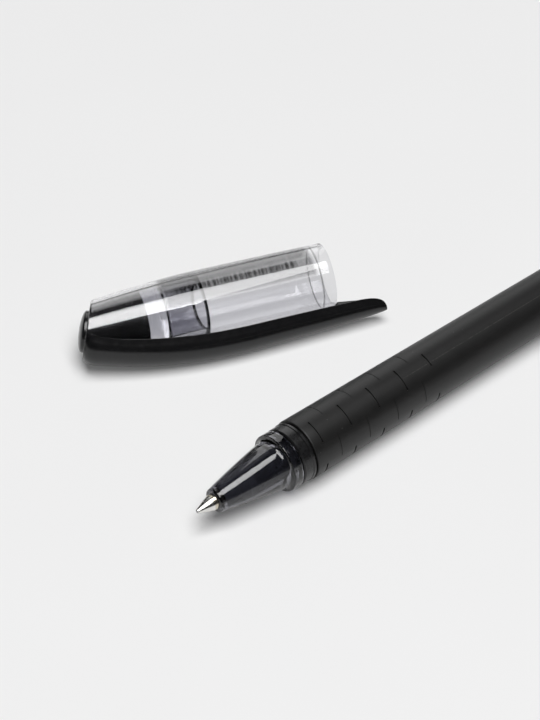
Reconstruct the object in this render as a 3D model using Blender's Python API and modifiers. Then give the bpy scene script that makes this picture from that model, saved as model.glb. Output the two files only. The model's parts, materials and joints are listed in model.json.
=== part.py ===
"""Capped ballpoint pen lying on a table, with its cap taken off and laid down beside it.

The pen is turned about its own axis, with heights counted from the writing ball towards the tail.
The cap is turned about its own axis too, with heights counted from its mouth towards its closed end.
Lengths are in metres, +Z is up, the pen lies along X and the table top is Z = 0.
"""

import math

import bmesh
import bpy
from mathutils import Matrix, Vector

MM = 0.001

# Size of the marks that show the axes of pen and cap
AXIS_MARK = 5.0 * MM

# Fits
PRESS_GAP = 0.03 * MM
RUNNING_GAP = 0.06 * MM
SEAT_GAP = 0.3 * MM

# Edges that show as creases
CREASE_ANGLE = math.radians(35)

# Facets round the turned pieces
BODY_STEPS = 32
SMALL_STEPS = 24

# Barrel and its soft skin
COLLAR_START = 19.6 * MM
COLLAR_RADIUS = 5.3 * MM
COLLAR_RING_RADIUS = 5.42 * MM
COLLAR_RING_LENGTH = 0.5 * MM
COLLAR_LENGTH = 2.35 * MM
COLLAR_CHAMFER = 0.2 * MM
SLEEVE_START = 22.36 * MM
SLEEVE_RADIUS = 5.56 * MM
SLEEVE_WALL = 0.6 * MM
SLEEVE_EDGE_ROUND = 0.22 * MM
TAIL_RADIUS = 4.5 * MM
BARREL_END = 122.0 * MM
BARREL_BORE = 3.4 * MM

# Slits cut into the grip
SLIT_FIRST = 2.06 * MM
SLIT_PITCH = 3.27 * MM
SLIT_ROWS = 9
SLITS_ROUND = 4
SLIT_WIDTH = 0.3 * MM
SLIT_DEPTH = 0.28 * MM
SLIT_FAINT_WIDTH = 0.12 * MM
SLIT_FAINT_DEPTH = 0.08 * MM
SLIT_ARC = math.radians(46)
SLIT_LAST_ARC = math.radians(30)
SLIT_MIDDLE = math.radians(207)

# Plug in the tail
PLUG_HEAD_LENGTH = 3.5 * MM
PLUG_EDGE_ROUND = 0.8 * MM
PLUG_SPIGOT_LENGTH = 10.0 * MM
PLUG_WALL = 0.9 * MM
VENT_RADIUS = 0.75 * MM

# Nose cone
CONE_FRONT = 3.73 * MM
CONE_FRONT_RADIUS = 2.12 * MM
CONE_FRONT_ROUND = 0.5 * MM
CONE_BASE = 16.3 * MM
CONE_BASE_RADIUS = 4.4 * MM
CONE_BULGE = 0.11 * MM
FLANGE_RADIUS = 5.3 * MM
FLANGE_LENGTH = 1.9 * MM
FLANGE_EDGE_ROUND = 0.15 * MM
FLANGE_SEAM = 0.3 * MM
SPIGOT_RADIUS = 4.2 * MM
SPIGOT_LENGTH = 9.2 * MM
SPIGOT_BORE = 3.2 * MM
CONE_WALL = 0.45 * MM
CONE_LIP_LENGTH = 1.2 * MM

# Refill
BALL_RADIUS = 0.35 * MM
SOCKET_GAP = 0.035 * MM
SOCKET_LIP_ANGLE = math.radians(54)
SOCKET_LIP_WALL = 0.05 * MM
TIP_CONE_LENGTH = 3.0 * MM
TIP_SHANK_RADIUS = 1.4 * MM
TIP_LENGTH = 9.7 * MM
INK_CHANNEL_RADIUS = 0.2 * MM
TIP_BORE_RADIUS = 0.6 * MM
HOLDER_NECK_RADIUS = 1.85 * MM
HOLDER_NECK_LENGTH = 3.2 * MM
HOLDER_SHOULDER_LENGTH = 1.3 * MM
HOLDER_RIM_LENGTH = 1.5 * MM
HOLDER_SPIGOT_LENGTH = 5.8 * MM
HOLDER_BORE = 0.4 * MM
HOLDER_CHAMFER = 0.12 * MM
VALVE_BALL_RADIUS = 0.55 * MM
VALVE_PLAY = 0.15 * MM
VALVE_LIFT = 0.4 * MM
REFILL_RADIUS = 2.75 * MM
REFILL_WALL = 0.55 * MM
REFILL_END_GAP = 6.0 * MM
REFILL_SPARE_LENGTH = 14.2 * MM
FOLLOWER_LENGTH = 6.0 * MM

# Cap shell
CAP_LENGTH = 44.5 * MM
CAP_END_LEAN = math.radians(24.2)
CAP_MOUTH_RADIUS = 5.98 * MM
CAP_WIDEST_RADIUS = 6.2 * MM
CAP_WIDEST_AT = 24.7 * MM
CAP_END_RADIUS = 4.98 * MM
CAP_NOSE_POWER = 1.6
CAP_WALL = 0.78 * MM
CAP_LEAD_IN = 1.0 * MM
CAP_LEAD_IN_FLARE = 0.26 * MM

# Inner sleeve and crown of the cap
CROWN_LENGTH = 10.2 * MM
INNER_CAP_LENGTH = 10.8 * MM
INNER_CAP_BORE = 4.2 * MM
INNER_CAP_DEPTH = 7.2 * MM
INNER_CAP_BEVEL = 0.8 * MM
CROWN_RING_WIDTH = 0.35 * MM
CROWN_RING_DEPTH = 0.25 * MM
CROWN_RINGS = (2.3 * MM, 5.0 * MM)
BUTTON_RADIUS = 3.7 * MM
BUTTON_HEIGHT = 1.3 * MM
BUTTON_DOME = 0.9 * MM
BUTTON_SINK = 1.0 * MM

# Clip
CLIP_REACH = 8.5 * MM
CLIP_TIP_LENGTH = 6.5 * MM
CLIP_HINGE_FROM_END = 3.3 * MM
CLIP_ROOT_HALF_WIDTH = 3.9 * MM
CLIP_TIP_HALF_WIDTH = 2.7 * MM
CLIP_SIDE_BULGE = 0.4 * MM
CLIP_ROOT_FLARE = 0.3 * MM
CLIP_FLARE_LENGTH = 5.8 * MM
CLIP_SIDE_LENGTH = 1.0 * MM
CLIP_SIDE_DRAFT = math.radians(27.5)
CLIP_STANDOFF = 7.95 * MM
CLIP_RISE_START = 17.0 * MM
CLIP_RISE = 4.5 * MM
CLIP_RISE_POWER = 2.27
CLIP_SWEEP_RATIO = 0.0225
CLIP_TIP_LIFT = 0.9 * MM
CLIP_TIP_POWER = 3.0
CLIP_WALL = 0.95 * MM
CLIP_LEAST_RADIUS = 0.02 * MM
CLIP_TIP_WALL = 1.6 * MM
CLIP_ROOT_WALL = 1.4 * MM
CLIP_END_LENGTH = 2.4 * MM
CLIP_END_ROUND = 2.2 * MM
NUB_START = 1.3 * MM
NUB_LENGTH = 5.9 * MM
NUB_RISE = 0.75 * MM
NUB_CREST_SHARE = 0.15
NUB_INSET = 0.3 * MM

# Where the cap lies beside the pen
CAP_MOUTH_ALONG = 55.48 * MM
CAP_MOUTH_ASIDE = 29.63 * MM
CAP_HEADING = math.radians(158.06)
CLIP_ROLL = math.radians(70.8)


def barrel_radius(height):
    """Outer radius of the soft skin, a slow taper from the grip's front edge to the tail."""
    share = (height - SLEEVE_START) / (BARREL_END - SLEEVE_START)
    return SLEEVE_RADIUS + (TAIL_RADIUS - SLEEVE_RADIUS) * share


def cone_radius(height):
    """Outer radius of the nose cone, a straight taper with a slight swell."""
    share = (height - CONE_FRONT) / (CONE_BASE - CONE_FRONT)
    taper = CONE_FRONT_RADIUS + (CONE_BASE_RADIUS - CONE_FRONT_RADIUS) * share
    return taper + CONE_BULGE * 4 * share * (1 - share)


def cap_radius(height):
    """Outer radius of the cap: widening slowly from the mouth, then closing in towards the end."""
    if height <= CAP_WIDEST_AT:
        share = max(height, 0.0) / CAP_WIDEST_AT
        return CAP_MOUTH_RADIUS + (CAP_WIDEST_RADIUS - CAP_MOUTH_RADIUS) * math.sin(share * math.pi / 2)
    share = (height - CAP_WIDEST_AT) / (CAP_LENGTH - CAP_WIDEST_AT)
    return CAP_WIDEST_RADIUS - (CAP_WIDEST_RADIUS - CAP_END_RADIUS) * share**CAP_NOSE_POWER


def cap_bore():
    """Radius of the cap's straight bore, which slides over the flange of the nose cone."""
    return FLANGE_RADIUS + RUNNING_GAP


def inner_cap_end():
    """Height where the inner sleeve ends and the crown starts."""
    return CAP_LENGTH - CROWN_LENGTH


def inner_cap_start():
    """Height of the front of the inner sleeve, where the cap's straight bore ends."""
    return inner_cap_end() - INNER_CAP_LENGTH


def end_height(aside):
    """Height of the leaning end face at a distance from the axis, counted towards the clip."""
    return CAP_LENGTH + aside * math.tan(CAP_END_LEAN)


def cap_top():
    """Height that the cap's walls are drawn to before the end face is cut."""
    return end_height(CAP_WIDEST_RADIUS)


def cap_inner_radius(height):
    """Radius inside the cap beyond the straight bore, where the inner sleeve and the crown sit."""
    return cap_radius(height) - CAP_WALL


def spaced(start, end, count):
    """count + 1 values from start to end, evenly spaced."""
    return [start + (end - start) * i / count for i in range(count + 1)]


def arc(centre_radius, centre_height, radius, start, end, count):
    """Points (radius, height) on an arc, with angles counted from +radius towards +height."""
    points = []
    for angle in spaced(start, end, count):
        points.append((centre_radius + radius * math.cos(angle), centre_height + radius * math.sin(angle)))
    return points


def collection(name):
    made = bpy.data.collections.new(name)
    bpy.context.scene.collection.children.link(made)
    return made


def finish(name, colour, roughness, metallic=0.0, transmission=0.0, alpha=1.0):
    """A Principled material."""
    made = bpy.data.materials.new(name)
    made.use_nodes = True
    shader = made.node_tree.nodes["Principled BSDF"]
    shader.inputs["Base Color"].default_value = (*colour, 1.0)
    shader.inputs["Roughness"].default_value = roughness
    shader.inputs["Metallic"].default_value = metallic
    shader.inputs["Transmission Weight"].default_value = transmission
    shader.inputs["Alpha"].default_value = alpha
    made.diffuse_color = (*colour, alpha)
    return made


def empty(name, home, parent=None, matrix=None):
    made = bpy.data.objects.new(name, None)
    made.empty_display_size = AXIS_MARK
    home.objects.link(made)
    made.parent = parent
    if matrix is not None:
        made.matrix_basis = matrix
    return made


def add_object(name, mesh, home, parent, material=None, location=(0.0, 0.0, 0.0)):
    made = bpy.data.objects.new(name, mesh)
    home.objects.link(made)
    made.parent = parent
    made.location = location
    if material is not None:
        mesh.materials.append(material)
    return made


def turned(name, home, parent, material, outside, inside=(), steps=BODY_STEPS):
    """A solid of revolution about local Z.

    outside and inside list (radius, height) from the lowest point to the highest. With no inside the
    outline starts and ends on the axis.
    """
    loop = list(reversed(outside)) + list(inside)
    mesh = bpy.data.meshes.new(name)
    edges = [(i, i + 1) for i in range(len(loop) - 1)]
    if inside:
        edges.append((len(loop) - 1, 0))
    mesh.from_pydata([(radius, 0.0, height) for radius, height in loop], edges, [])
    made = add_object(name, mesh, home, parent, material)
    screw = made.modifiers.new("turn", "SCREW")
    screw.axis = "Z"
    screw.steps = steps
    screw.render_steps = steps
    screw.use_merge_vertices = True
    screw.merge_threshold = 0.001 * MM
    screw.use_smooth_shade = True
    return made


def crease_group():
    """Geometry nodes that shade a shape smooth except across its creases."""
    group = bpy.data.node_groups.new("crease", "GeometryNodeTree")
    group.interface.new_socket("Geometry", in_out="INPUT", socket_type="NodeSocketGeometry")
    group.interface.new_socket("Geometry", in_out="OUTPUT", socket_type="NodeSocketGeometry")
    start = group.nodes.new("NodeGroupInput")
    end = group.nodes.new("NodeGroupOutput")
    angle = group.nodes.new("GeometryNodeInputMeshEdgeAngle")
    flat = group.nodes.new("FunctionNodeCompare")
    flat.operation = "LESS_EQUAL"
    flat.inputs["B"].default_value = CREASE_ANGLE
    smooth = group.nodes.new("GeometryNodeSetShadeSmooth")
    smooth.domain = "EDGE"
    group.links.new(angle.outputs["Unsigned Angle"], flat.inputs["A"])
    group.links.new(start.outputs[0], smooth.inputs["Geometry"])
    group.links.new(flat.outputs["Result"], smooth.inputs["Shade Smooth"])
    group.links.new(smooth.outputs["Geometry"], end.inputs[0])
    return group


def crease(home):
    """Gives every piece its creases, after the steps that shape it."""
    group = crease_group()
    for made in home.objects:
        if made.type == "MESH":
            made.modifiers.new("crease", "NODES").node_group = group


def cut(target, cutter, operation="DIFFERENCE"):
    """Boolean by a helper object, which is kept but never drawn."""
    cutter.hide_render = True
    cutter.display_type = "WIRE"
    step = target.modifiers.new(operation.lower(), "BOOLEAN")
    step.operation = operation
    step.solver = "EXACT"
    step.object = cutter


def loft(rings):
    """A closed mesh through equal rings of points, with flat ends."""
    shape = bmesh.new()
    rows = [[shape.verts.new(point) for point in ring] for ring in rings]
    for low, high in zip(rows, rows[1:]):
        for i in range(len(low)):
            j = (i + 1) % len(low)
            shape.faces.new((low[i], low[j], high[j], high[i]))
    shape.faces.new(list(reversed(rows[0])))
    shape.faces.new(rows[-1])
    bmesh.ops.recalc_face_normals(shape, faces=shape.faces)
    return shape


def to_mesh(shape, name):
    mesh = bpy.data.meshes.new(name)
    shape.to_mesh(mesh)
    shape.free()
    mesh.shade_smooth()
    return mesh


def ball(name, home, parent, material, radius, height):
    """A ball on the axis, with its origin at its own centre."""
    shape = bmesh.new()
    bmesh.ops.create_uvsphere(shape, u_segments=16, v_segments=10, radius=radius)
    return add_object(name, to_mesh(shape, name), home, parent, material, (0.0, 0.0, height))


def barrel_tube(home, pen, material):
    """The hard tube, with the collar that the cap clicks over and the socket for the nose cone."""
    collar_end = COLLAR_START + COLLAR_LENGTH
    ring_start = collar_end - COLLAR_RING_LENGTH
    skin = SLEEVE_WALL + PRESS_GAP
    socket = SPIGOT_RADIUS + RUNNING_GAP
    socket_end = cone_back() + SPIGOT_LENGTH + SEAT_GAP
    outside = [
        (COLLAR_RADIUS - COLLAR_CHAMFER, COLLAR_START),
        (COLLAR_RADIUS, COLLAR_START + COLLAR_CHAMFER),
        (COLLAR_RADIUS, ring_start),
        (COLLAR_RING_RADIUS, ring_start + (COLLAR_RING_RADIUS - COLLAR_RADIUS)),
        (COLLAR_RING_RADIUS, collar_end),
        (barrel_radius(collar_end) - skin, collar_end),
        (barrel_radius(BARREL_END) - skin, BARREL_END),
    ]
    inside = [
        (socket, COLLAR_START),
        (socket, socket_end),
        (BARREL_BORE, socket_end),
        (BARREL_BORE, BARREL_END),
    ]
    return turned("barrel_tube", home, pen, material, outside, inside)


def slit_cutter(home, pen):
    """All the slits of the grip as one cutter of separate bent bars, staggered from row to row.

    Every other row is only a faint score.
    """
    merged = bmesh.new()
    steps = 6
    for row in range(SLIT_ROWS):
        half = (SLIT_FAINT_WIDTH if row % 2 else SLIT_WIDTH) / 2
        depth = SLIT_FAINT_DEPTH if row % 2 else SLIT_DEPTH
        middle_height = SLEEVE_START + SLIT_FIRST + row * SLIT_PITCH
        low = barrel_radius(middle_height) - depth
        high = barrel_radius(middle_height) + SLEEVE_WALL
        span = SLIT_LAST_ARC if row == SLIT_ROWS - 1 else SLIT_ARC
        for index in range(SLITS_ROUND):
            start = SLIT_MIDDLE - SLIT_ARC / 2 + (index + row % 2 / 2) * math.tau / SLITS_ROUND
            rings = []
            for angle in spaced(start, start + span, steps):
                outward = Vector((math.cos(angle), math.sin(angle), 0.0))
                ring = []
                for radius, height in ((low, -half), (high, -half), (high, half), (low, half)):
                    ring.append(outward * radius + Vector((0.0, 0.0, middle_height + height)))
                rings.append(ring)
            bar = loft(rings)
            mesh = bpy.data.meshes.new("slit")
            bar.to_mesh(mesh)
            bar.free()
            merged.from_mesh(mesh)
            bpy.data.meshes.remove(mesh)
    return add_object("slit_cutter", to_mesh(merged, "slit_cutter"), home, pen)


def grip_sleeve(home, cutters, pen, material):
    """The soft skin, from the collar to the tail, with its rows of slits."""
    edge = SLEEVE_EDGE_ROUND
    front = barrel_radius(SLEEVE_START + edge)
    outside = arc(front - edge, SLEEVE_START + edge, edge, -math.pi / 2, 0.0, 3)
    outside.append((barrel_radius(BARREL_END), BARREL_END))
    inside = [
        (barrel_radius(SLEEVE_START) - SLEEVE_WALL, SLEEVE_START),
        (barrel_radius(BARREL_END) - SLEEVE_WALL, BARREL_END),
    ]
    made = turned("grip_sleeve", home, pen, material, outside, inside)
    cut(made, slit_cutter(cutters, pen))
    return made


def tail_plug(home, pen, material):
    """The plug pressed into the tail, vented, with a flat end."""
    head_start = BARREL_END + PRESS_GAP
    end = head_start + PLUG_HEAD_LENGTH
    spigot = BARREL_BORE - PRESS_GAP
    spigot_start = BARREL_END - PLUG_SPIGOT_LENGTH
    hollow_end = BARREL_END - PLUG_WALL
    edge = PLUG_EDGE_ROUND
    outside = [(spigot, spigot_start), (spigot, head_start), (TAIL_RADIUS, head_start)]
    outside += arc(TAIL_RADIUS - edge, end - edge, edge, 0.0, math.pi / 2, 4)
    inside = [
        (spigot - PLUG_WALL, spigot_start),
        (spigot - PLUG_WALL, hollow_end),
        (VENT_RADIUS, hollow_end),
        (VENT_RADIUS, end),
    ]
    return turned("tail_plug", home, pen, material, outside, inside)


def cone_back():
    """Height of the flange's back face, which stands a seam's width off the collar."""
    return COLLAR_START - FLANGE_SEAM


def holder_front():
    """Height of the refill's front shoulder, which seats behind the lip of the nose cone."""
    return CONE_FRONT + CONE_LIP_LENGTH + SEAT_GAP


def holder_rim():
    """Height where the refill reaches its full width."""
    return holder_front() + HOLDER_NECK_LENGTH + HOLDER_SHOULDER_LENGTH


def holder_back():
    """Height of the back of the holder's rim, where the refill tube starts."""
    return holder_rim() + HOLDER_RIM_LENGTH


def nose_cone(home, pen, material):
    """The see-through nose, screwed into the barrel by its spigot."""
    back = cone_back()
    spigot_end = back + SPIGOT_LENGTH
    flange_front = back - FLANGE_LENGTH
    fillet_width = FLANGE_RADIUS - FLANGE_EDGE_ROUND - CONE_BASE_RADIUS
    fillet_length = flange_front - CONE_BASE
    edge = FLANGE_EDGE_ROUND
    front = CONE_FRONT_ROUND
    lip = TIP_SHANK_RADIUS + RUNNING_GAP
    lip_end = CONE_FRONT + CONE_LIP_LENGTH
    shoulder = max(REFILL_RADIUS + 2 * RUNNING_GAP, cone_radius(holder_rim()) - CONE_WALL)
    outside = arc(cone_radius(CONE_FRONT + front) - front, CONE_FRONT + front, front, -math.pi / 2, 0.0, 4)
    outside += [(cone_radius(height), height) for height in spaced(CONE_FRONT + front, CONE_BASE, 6)[1:]]
    for angle in spaced(0.0, math.pi / 2, 4)[1:]:
        radius = CONE_BASE_RADIUS + fillet_width * (1 - math.cos(angle))
        outside.append((radius, CONE_BASE + fillet_length * math.sin(angle)))
    outside += arc(FLANGE_RADIUS - edge, flange_front + edge, edge, -math.pi / 2, 0.0, 2)[1:]
    outside += arc(FLANGE_RADIUS - edge, back - edge, edge, 0.0, math.pi / 2, 2)
    outside += [(SPIGOT_RADIUS, back), (SPIGOT_RADIUS, spigot_end)]
    inside = [
        (lip, CONE_FRONT),
        (lip, lip_end),
        (HOLDER_NECK_RADIUS + 2 * RUNNING_GAP, lip_end),
        (shoulder, holder_rim() - 2 * RUNNING_GAP),
        (SPIGOT_BORE, CONE_BASE),
        (SPIGOT_BORE, spigot_end),
    ]
    return turned("nose_cone", home, pen, material, outside, inside)


def tip_socket(home, pen, material):
    """The metal point: a crimped seat for the ball, a taper, and the shank that the holder grips."""
    cup = BALL_RADIUS + SOCKET_GAP
    seat = math.pi - math.asin(INK_CHANNEL_RADIUS / cup)
    hollow = []
    for angle in spaced(SOCKET_LIP_ANGLE, seat, 5):
        hollow.append((cup * math.sin(angle), BALL_RADIUS - cup * math.cos(angle)))
    lip_radius, lip_height = hollow[0]
    outside = [
        (lip_radius + SOCKET_LIP_WALL, lip_height),
        (cup + SOCKET_LIP_WALL, BALL_RADIUS),
        (TIP_SHANK_RADIUS, TIP_CONE_LENGTH),
        (TIP_SHANK_RADIUS, TIP_LENGTH),
    ]
    inside = hollow + [
        (INK_CHANNEL_RADIUS, TIP_CONE_LENGTH),
        (TIP_BORE_RADIUS, TIP_CONE_LENGTH + TIP_BORE_RADIUS),
        (TIP_BORE_RADIUS, TIP_LENGTH),
    ]
    return turned("tip_socket", home, pen, material, outside, inside, SMALL_STEPS)


def valve_height():
    """Height of the valve ball's centre at rest, near the front of its chamber."""
    return holder_back() + VALVE_PLAY + VALVE_BALL_RADIUS


def tip_holder(home, pen, material):
    """The moulded holder between the point and the tube, with the chamber of the valve ball."""
    front = holder_front()
    rim = holder_rim()
    back = holder_back()
    end = back + HOLDER_SPIGOT_LENGTH
    spigot = REFILL_RADIUS - REFILL_WALL - PRESS_GAP
    grip = TIP_SHANK_RADIUS + PRESS_GAP
    chamber = VALVE_BALL_RADIUS + VALVE_PLAY
    chamber_end = valve_height() + VALVE_BALL_RADIUS + VALVE_LIFT
    outside = [
        (HOLDER_NECK_RADIUS - HOLDER_CHAMFER, front),
        (HOLDER_NECK_RADIUS, front + HOLDER_CHAMFER),
        (HOLDER_NECK_RADIUS, front + HOLDER_NECK_LENGTH),
        (REFILL_RADIUS, rim),
        (REFILL_RADIUS, back),
        (spigot, back),
        (spigot, end),
    ]
    inside = [
        (grip, front),
        (grip, TIP_LENGTH + PRESS_GAP),
        (HOLDER_BORE, TIP_LENGTH + PRESS_GAP),
        (HOLDER_BORE, back),
        (chamber, back),
        (chamber, chamber_end),
        (HOLDER_BORE, chamber_end),
        (HOLDER_BORE, end),
    ]
    return turned("tip_holder", home, pen, material, outside, inside, SMALL_STEPS)


def refill_end():
    """Height of the open end of the refill, which stands off the plug in the tail."""
    return BARREL_END - PLUG_SPIGOT_LENGTH - REFILL_END_GAP


def refill_tube(home, pen, material):
    start = holder_back() + PRESS_GAP
    end = refill_end()
    outside = [(REFILL_RADIUS, start), (REFILL_RADIUS, end)]
    bore = REFILL_RADIUS - REFILL_WALL
    inside = [(bore, start), (bore, end)]
    return turned("refill_tube", home, pen, material, outside, inside, SMALL_STEPS)


def ink(home, pen, ink_material, grease_material):
    """The ink behind the holder and the plug of grease that follows it down the tube."""
    radius = REFILL_RADIUS - REFILL_WALL - RUNNING_GAP
    start = holder_back() + HOLDER_SPIGOT_LENGTH + PRESS_GAP
    follower_end = refill_end() - REFILL_SPARE_LENGTH
    follower_start = follower_end - FOLLOWER_LENGTH
    end = follower_start - PRESS_GAP
    column = [(0.0, start), (radius, start), (radius, end), (0.0, end)]
    turned("ink_column", home, pen, ink_material, column, steps=SMALL_STEPS)
    plug = [(0.0, follower_start), (radius, follower_start), (radius, follower_end), (0.0, follower_end)]
    turned("ink_follower", home, pen, grease_material, plug, steps=SMALL_STEPS)


def cap_heights():
    """Heights at which the outside of the cap bends."""
    return spaced(0.0, CAP_WIDEST_AT, 4) + spaced(CAP_WIDEST_AT, cap_top(), 9)[1:]


def end_cutter(name, home, cap):
    """A cutter that takes off all that stands beyond the leaning end face."""
    reach = CAP_LENGTH / 2
    corners = [(-reach, -reach), (reach, -reach), (reach, reach), (-reach, reach)]
    low = [Vector((x, y, end_height(x))) for x, y in corners]
    high = [Vector((x, y, end_height(reach) + reach)) for x, y in corners]
    return add_object(name, to_mesh(loft([low, high]), name), home, cap)


def cap_shell(home, cutters, cap, material):
    """The clear cap, open at both ends: the pen goes in at the mouth and the crown closes the far end."""
    bore = cap_bore()
    outside = [(cap_radius(height), height) for height in cap_heights()]
    inside = [(bore + CAP_LEAD_IN_FLARE, 0.0), (bore, CAP_LEAD_IN), (bore, inner_cap_start())]
    inside += [(cap_inner_radius(height), height) for height in seats()]
    made = turned("cap_shell", home, cap, material, outside, inside)
    cut(made, end_cutter("cap_shell_end", cutters, cap))
    return made


def seats():
    """Heights at which the inside of the cap and what sits in it share the same bends."""
    return spaced(inner_cap_start(), inner_cap_end(), 3) + spaced(inner_cap_end(), cap_top(), 4)[1:]


def inner_cap(home, cap, material):
    """The tinted cup that guards the writing tip inside the cap, closed towards the crown."""
    start, end = inner_cap_start(), inner_cap_end()
    floor = start + INNER_CAP_DEPTH
    outline = [
        (0.0, floor),
        (INNER_CAP_BORE - INNER_CAP_BEVEL, floor),
        (INNER_CAP_BORE, floor - INNER_CAP_BEVEL),
        (INNER_CAP_BORE, start),
    ]
    heights = [height for height in seats() if height <= end]
    outline += [(cap_inner_radius(height) - PRESS_GAP, height) for height in heights]
    outline.append((0.0, end))
    return turned("inner_cap", home, cap, material, outline)


def cap_crown(home, cutters, cap, material):
    """The black plug seen through the end of the cap, with the domed button on its leaning end face."""
    start = inner_cap_end() + PRESS_GAP

    def plug_radius(height):
        below, above = [pair for pair in zip(seats(), seats()[1:]) if pair[0] <= height][-1]
        share = (height - below) / (above - below)
        low, high = cap_inner_radius(below), cap_inner_radius(above)
        return low + (high - low) * share - PRESS_GAP

    outline = [(0.0, start), (plug_radius(start), start)]
    for offset in CROWN_RINGS:
        low = start + offset
        high = low + CROWN_RING_WIDTH
        outline += [
            (plug_radius(low), low),
            (plug_radius(low) - CROWN_RING_DEPTH, low),
            (plug_radius(high) - CROWN_RING_DEPTH, high),
            (plug_radius(high), high),
        ]
    reached = start + CROWN_RINGS[-1] + CROWN_RING_WIDTH
    for height in [height for height in seats() if height > reached]:
        outline.append((cap_inner_radius(height) - PRESS_GAP, height))
    outline.append((0.0, cap_top()))
    made = turned("cap_crown", home, cap, material, outline)
    cut(made, end_cutter("cap_crown_end", cutters, cap))

    dome_start = BUTTON_HEIGHT - BUTTON_DOME
    outline = [(0.0, -BUTTON_SINK), (BUTTON_RADIUS, -BUTTON_SINK)]
    for angle in spaced(0.0, math.pi / 2, 5)[:-1]:
        outline.append((BUTTON_RADIUS * math.cos(angle), dome_start + BUTTON_DOME * math.sin(angle)))
    outline.append((0.0, BUTTON_HEIGHT))
    button = turned("button", cutters, cap, None, outline)
    button.location = (0.0, 0.0, CAP_LENGTH)
    button.rotation_euler = (0.0, -CAP_END_LEAN, 0.0)
    cut(made, button, "UNION")
    return made


def clip_section(height):
    """(edge, centre, radius) of the clip at a height: where its sides end and where its round back is
    struck from, both counted from the cap's axis, and the radius of the back."""
    root = CAP_LENGTH
    straight_end = -CLIP_REACH + CLIP_TIP_LENGTH
    share = (root - height) / (root - straight_end)
    width = CLIP_ROOT_HALF_WIDTH + (CLIP_TIP_HALF_WIDTH - CLIP_ROOT_HALF_WIDTH) * share
    width += CLIP_SIDE_BULGE * 4 * share * (1 - share)
    if height > CLIP_RISE_START:
        climb = (height - CLIP_RISE_START) / (root - CLIP_RISE_START)
        edge = CLIP_STANDOFF - CLIP_RISE * climb**CLIP_RISE_POWER
    else:
        edge = CLIP_STANDOFF - CLIP_SWEEP_RATIO * (CLIP_RISE_START - height)
    flare = CLIP_ROOT_FLARE * max(1 - (root - height) / CLIP_FLARE_LENGTH, 0.0) ** 2
    width += flare
    edge -= flare
    lean = math.sin(CLIP_SIDE_DRAFT)
    upright = math.cos(CLIP_SIDE_DRAFT)
    radius = (width - CLIP_SIDE_LENGTH * lean) / upright
    centre = edge + CLIP_SIDE_LENGTH * upright - radius * lean
    if height < straight_end:
        closing = (straight_end - height) / CLIP_TIP_LENGTH
        fullness = max(1 - closing**CLIP_TIP_POWER, 0.0) ** (1 / CLIP_TIP_POWER)
        middle = edge + CLIP_SIDE_LENGTH + CLIP_TIP_LIFT
        edge = middle + (edge - middle) * fullness
        centre = middle + (centre - middle) * fullness
        radius *= fullness
    return edge, centre, radius


def clip_outline(height, inset=0.0, edge=None):
    """Points of the clip's closed section in the cap's own frame: leaning sides and a round back.

    inset draws the section in on all sides but the open one. A lower edge lengthens the sides, straight.
    """
    own_edge, centre, radius = clip_section(height)
    radius = max(radius - inset, CLIP_LEAST_RADIUS)
    half = (radius + (centre - own_edge) * math.sin(CLIP_SIDE_DRAFT)) / math.cos(CLIP_SIDE_DRAFT)
    reach = math.pi / 2 - CLIP_SIDE_DRAFT
    points = [Vector((own_edge, -half, height))]
    for angle in spaced(-reach, reach, 12):
        points.append(Vector((centre + radius * math.cos(angle), radius * math.sin(angle), height)))
    points.append(Vector((own_edge, half, height)))
    if edge is not None:
        points = [Vector((edge, -half, height))] + points + [Vector((edge, half, height))]
    return points


def clip_heights(start, end):
    """Stations along the clip, closer together where the tip rounds off."""
    straight_end = -CLIP_REACH + CLIP_TIP_LENGTH
    heights = []
    if start < straight_end:
        for angle in spaced(0.0, math.pi / 2, 7):
            heights.append(straight_end - (straight_end - start) * math.cos(angle))
    else:
        heights.append(start)
    return heights + spaced(heights[-1], end, 14)[1:]


def cap_envelope(name, home, cap, gap):
    """A cutter as large as the cap's outside, grown by a gap."""
    outside = [(0.0, -gap)] + [(cap_radius(height) + gap, height) for height in cap_heights()]
    outside[1] = (outside[1][0], -gap)
    outside += [(cap_radius(cap_top()) + gap, cap_top() + gap), (0.0, cap_top() + gap)]
    return turned(name, home, cap, None, outside)


def clip_hinge():
    """Point of the cap's frame about which the clip arm flexes: the middle of its root."""
    height = CAP_LENGTH - CLIP_HINGE_FROM_END
    return Vector((clip_section(height)[1], 0.0, height))


def clip_arm(home, cutters, cap, material):
    """The springy arm, a boat-shaped trough open towards the cap, filled near its tip by the nub that
    grips a pocket's edge."""
    hinge = clip_hinge()
    root = hinge.z - SEAT_GAP / 2
    tip = -CLIP_REACH
    shape = loft([clip_outline(height) for height in clip_heights(tip, root)])
    bmesh.ops.translate(shape, verts=shape.verts, vec=-hinge)
    made = add_object("clip_arm", to_mesh(shape, "clip_arm"), home, cap, material, hinge)

    hollow_tip = tip + CLIP_TIP_WALL
    hollow_root = root - CLIP_ROOT_WALL
    hollow = []
    for height in clip_heights(hollow_tip, hollow_root):
        hollow.append(clip_outline(height, CLIP_WALL, 0.0))
    trough = add_object("clip_trough", to_mesh(loft(hollow), "clip_trough"), cutters, cap)
    cut(made, trough)

    rings = []
    for share in spaced(0.0, 1.0, 8):
        height = NUB_START - NUB_LENGTH * share
        rise = NUB_RISE * min(share / NUB_CREST_SHARE, (1 - share) / (1 - NUB_CREST_SHARE))
        rings.append(clip_outline(height, NUB_INSET, clip_section(height)[0] - rise))
    shape = loft(rings)
    nub = add_object("clip_nub", to_mesh(shape, "clip_nub"), cutters, cap)
    cut(made, nub, "UNION")

    cut(made, cap_envelope("clip_arm_clearance", cutters, cap, SEAT_GAP))
    return made


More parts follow.
